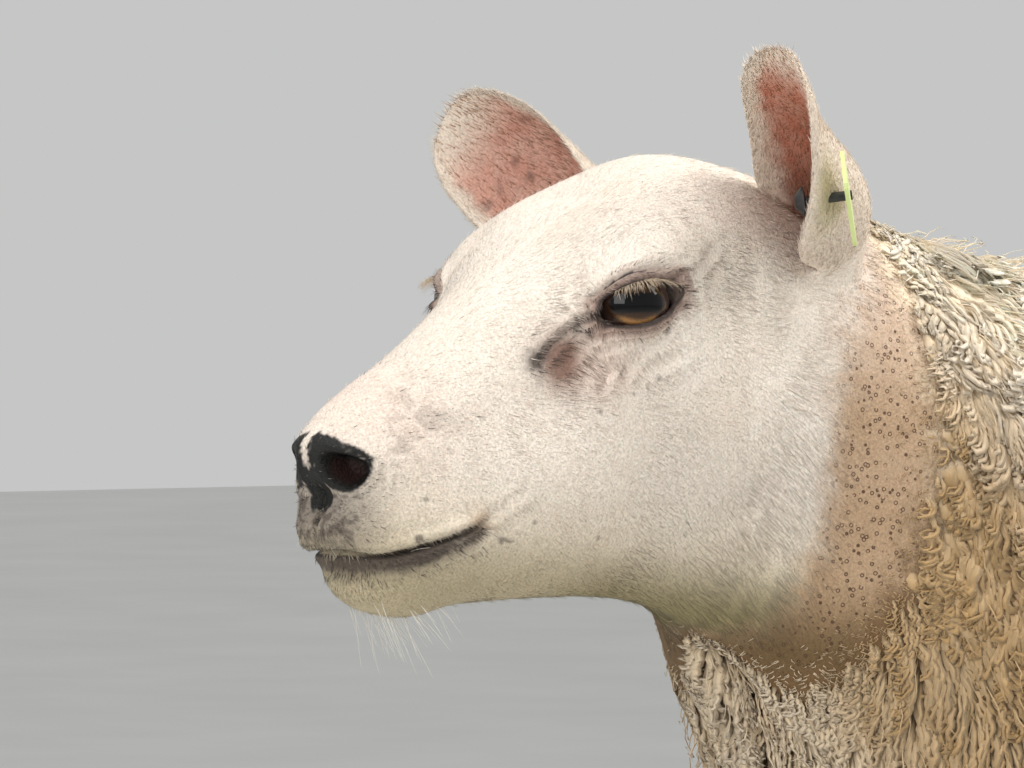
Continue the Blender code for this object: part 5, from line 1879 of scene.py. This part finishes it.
# %% Loose wisps
wisp_mask = woolly * (is_nape + 0.3 * is_neck + 0.04)
wool_piece("loose_wisps", 1100, wisp_mask, 0.34, 30, np.linspace(0, 1, 9), WISP, (2, 1.0, 0.3), lift=1.45,
           thick=0.9, taper=0.6)

# %% [markdown]
# ## Lashes and whiskers
# Pale lashes hang from the upper lid's edge, and a few long stiff hairs stand out under the chin and on the
# lips. Both are thin tapering tubes.

# %% Stiff hairs
def stiff_hairs(name, roots, way, lengths, width, drop, power, places, outward, colour, hand=1):
    """Round hairs along their ways that droop by drop * length * t^power, mirrored if hand is -1."""
    t = np.linspace(0, 1, places)[:, None]
    long = lengths[:, None, None]
    lines = roots[:, None] + way[:, None] * (long * t) + np.array(drop) * (long * t**power)
    wide = width * (1 - 0.6 * t.T) * np.ones((len(roots), 1))
    points, faces, patch, each = tubes(lines, wide, wide, outward, 3)
    faces = faces if hand > 0 else [part[:, ::-1] for part in faces]
    painting = {"Coat": np.ones((len(points), 3)) * colour, "Along": patch[:, 1]}
    mirror = np.array((hand, 1, 1))
    coat_piece(name, (points * mirror, faces, patch, each), roots * mirror, painting, short_hair)


def lashes(name, hand, count=150):
    """Lashes from the upper lid's edge: out from the eye, then drooping."""
    share = np.sort(LUCK.uniform(0, 1, count))
    turn = np.radians(6 + 138 * share)
    distance, off = margin_at(turn)
    roots = from_eye(distance + 0.9, off + 0.015, turn)
    lengths = LUCK.uniform(7.0, 10.5, count) * (0.7 + 0.3 * np.sin(math.pi * share))
    out = unit(eye_out + 0.55 * unit(roots - EYE_CENTRE) + (slit_along * (0.75 * (0.5 - share))[:, None]))
    out = unit(out + 0.14 * LUCK.normal(0, 1, (count, 3)))
    stiff_hairs(name, roots, out, lengths, 0.075, (0, -0.062, -0.62), 1.7, 8, eye_up * np.ones((count, 3)),
                (0.72, 0.58, 0.43), hand)


def whiskers(count=70):
    """Long stiff hairs under the chin and a few on the lips."""
    place = to_left(triangle_middles)
    chin = bell(place[:, 1] - 45, 26) * smooth(-place[:, 2], 62, 78) * on_head
    lip = 0.02 * bell(place[:, 1] - 22, 16) * bell(place[:, 2] + 52, 20) * on_head
    roots, outward, chosen = grown_roots(count, chin + lip)
    lie = lie_of_hair(roots, outward)
    lengths = LUCK.uniform(9, 30, count) * (0.35 + 0.65 * smooth(-roots[:, 2], 55, 75))
    way = unit(outward + lie * LUCK.uniform(0.4, 1.6, (count, 1)) + 0.15 * LUCK.normal(0, 1, (count, 3)))
    stiff_hairs("whiskers", roots, way, lengths, 0.13, (0, 0.1, -0.18), 2, 10, outward, (0.85, 0.8, 0.72))


lashes("lashes_left", 1)
lashes("lashes_right", -1)
whiskers()

# %% [markdown]
# ## Hooves
# Each foot stands on two claws of horn. A claw grows down from the coronet in fine ridges, is steeper at
# the heel than at the toe and is flat towards its twin. The dewclaws keep the solid model's shape and take
# the same horn.

# %% Claws
# height above the ground, toe ahead of the leg's middle, heel behind it, half width
CLAW_RINGS = np.array((
    (0, 47, 27, 12.2),
    (6, 46.5, 28, 13.0),
    (20, 39, 28, 13.2),
    (34, 31, 27, 13.0),
    (43.4, 26, 25, 12.6),
), float)
CLAW_SPREAD = 14.4


def claw(name, rows, hand, out, rings=34, sides=48):
    """One claw with growth ridges, its sole a little hollow, and a rounded edge where it meets the ground."""
    steps = (len(CLAW_RINGS) - 1) * np.linspace(0, 1, rings) ** 1.15
    ends = np.vstack([2 * CLAW_RINGS[0] - CLAW_RINGS[1], CLAW_RINGS, 2 * CLAW_RINGS[-1] - CLAW_RINGS[-2]])
    height, toe, heel, wide = (column[:, None] for column in catmull_rom(ends, steps).T)
    height = np.clip(height, 0, None)
    a = np.arange(sides) * 2 * math.pi / sides
    forward = np.cos(a)
    ridge = 0.28 * np.sin(height * 1.45 + 0.5 * np.sin(a)) * smooth(height, 2, 8) * falls(height, 38, 43)
    worn = -0.9 * falls(height, 0, 2.2)
    reach = toe + (heel - toe) * smooth(-forward, -0.25, 0.25)
    x = (wide + ridge + worn) * np.sign(np.sin(a)) * np.abs(np.sin(a)) ** 0.8
    y = -(reach + ridge + worn) * forward
    bottom = rows[-1]
    middle = hand * (bottom[2] + out * CLAW_SPREAD)
    shell = np.stack([middle + x, bottom[1] + y, height + GROUND + 0 * a], axis=-1)
    points, faces = closed_tube(shell, shell[[0, -1]].mean(axis=1) + ((0, 0, 0.6), (0, 0, 0)))
    add_piece(mesh_from(name, placed(points), faces), horn, (name,))


def horn_finish():
    """Horn: brown-grey with fine growth lines along its height, darker in their hollows, and pale streaks."""
    finish, tree, shader = new_finish("horn", {"Roughness": 0.5})
    place = object_place(tree)
    lines = stretched_noise(tree, place, (60.0, 60.0, 420.0), 3.0)
    streaks = stretched_noise(tree, place, (320.0, 320.0, 25.0), 2.0)
    dark = mixed(tree, ramp(tree, lines, 0.35, 0.65), (0.055, 0.042, 0.032, 1), (0.15, 0.115, 0.08, 1))
    colour = mixed(tree, ramp(tree, streaks, 0.52, 0.72, 0.0, 0.5), dark, (0.3, 0.23, 0.16, 1))
    tree.links.new(colour, shader.inputs["Base Color"])
    bumped(tree, shader, lines, 0.0006, 0.7)
    return finish


horn = horn_finish()
for leg, rows in LEGS:
    for side, hand in SIDES:
        for claw_side, out in (("inner", -1), ("outer", 1)):
            claw(f"hoof_{leg}_{side}_{claw_side}", rows, hand, out)
            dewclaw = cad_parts[f"dewclaw_{leg}_{side}_{claw_side}"]
            for place in dewclaw.material_slots:
                place.material = horn

# %% [markdown]
# ## Ear tag
# The tag is moulded from soft plastic: a black stud inside the ear and a yellow-green panel behind it. Both
# keep the solid model's shape and take a plastic finish with a fine grain and a little wear. It stays
# blank.

# %% Tag plastic
def plastic_finish(name, colour, worn, rough):
    """Soft plastic: even colour with faint mottling, scuffs that are paler, and a fine moulded grain."""
    finish, tree, shader = new_finish(name, {})
    place = object_place(tree)
    scuffs, grain = noise_node(tree, place, 260.0, 4.0), noise_node(tree, place, 1800.0, 2.0)
    tint = mixed(tree, ramp(tree, scuffs, 0.45, 0.75, 0.0, 0.55), (*colour, 1), (*worn, 1))
    tree.links.new(tint, shader.inputs["Base Color"])
    tree.links.new(ramp(tree, scuffs, 0.4, 0.7, rough, rough + 0.2), shader.inputs["Roughness"])
    bumped(tree, shader, grain, 0.0001, 0.6)
    return finish


for tag, settings in (("button", ("tag_black", (0.012, 0.013, 0.015), (0.05, 0.05, 0.05), 0.3)),
                      ("panel", ("tag_green", (0.62, 0.72, 0.28), (0.66, 0.7, 0.42), 0.38))):
    finish = plastic_finish(*settings)
    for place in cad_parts["ear_tag_" + tag].material_slots:
        place.material = finish

# %% [markdown]
# ## Floor and light
# The sheep stands on a plain pale floor under soft light: a broad panel overhead, one high behind it on its
# left, a weaker one from the nose's side, and an even pale sky for the shadows.

# %% Floor
edge = np.linspace(-1, 1, 33)
floor_side, floor_back = np.meshgrid(edge, edge, indexing="ij")
floor_points = np.stack([14 * floor_side, 14 * floor_back, -0.0005 + 0 * floor_side], axis=-1).reshape(-1, 3)
start = (np.arange(32)[:, None] * 33 + np.arange(32)).ravel()
floor_mesh = mesh_from("floor", floor_points, [np.stack([start, start + 33, start + 34, start + 1], axis=1)])
floor = in_scene("floor", floor_mesh)
floor_finish, tree, shader = new_finish("floor", {"Roughness": 0.8})
mottle = ramp(tree, noise_node(tree, object_place(tree), 3.0, 6.0), 0.3, 0.7)
mottled = mixed(tree, mottle, (0.7, 0.7, 0.685, 1), (0.75, 0.75, 0.735, 1))
tree.links.new(mottled, shader.inputs["Base Color"])
floor_mesh.materials.append(floor_finish)


# %% Light
def panel(name, at, towards, size, power, colour):
    """A square panel of soft light that faces a point."""
    data = bpy.data.lights.new(name, "AREA")
    data.size, data.energy, data.color = size, power, colour
    light = in_scene(name, data)
    light.location = at
    light.rotation_euler = (Vector(at) - Vector(towards)).to_track_quat("Z", "Y").to_euler()


panel("overhead", (0.8, -0.5, 3.2), (0.05, -0.3, 0.8), 2.2, 44, (1.0, 0.97, 0.93))
panel("back_side", (0.6, 1.9, 2.7), (0.05, -0.2, 0.85), 1.8, 66, (1.0, 0.96, 0.9))
panel("nose_side", (1.5, -3.0, 1.7), (0.05, -0.4, 0.8), 1.6, 38, (1.0, 0.98, 0.95))
world = bpy.data.worlds.new("sky")
bpy.context.scene.world = world
world.use_nodes = True
sky = world.node_tree.nodes["Background"].inputs
sky["Color"].default_value, sky["Strength"].default_value = (0.86, 0.87, 0.86, 1), 0.65
bpy.context.scene.view_settings.view_transform = "Standard"
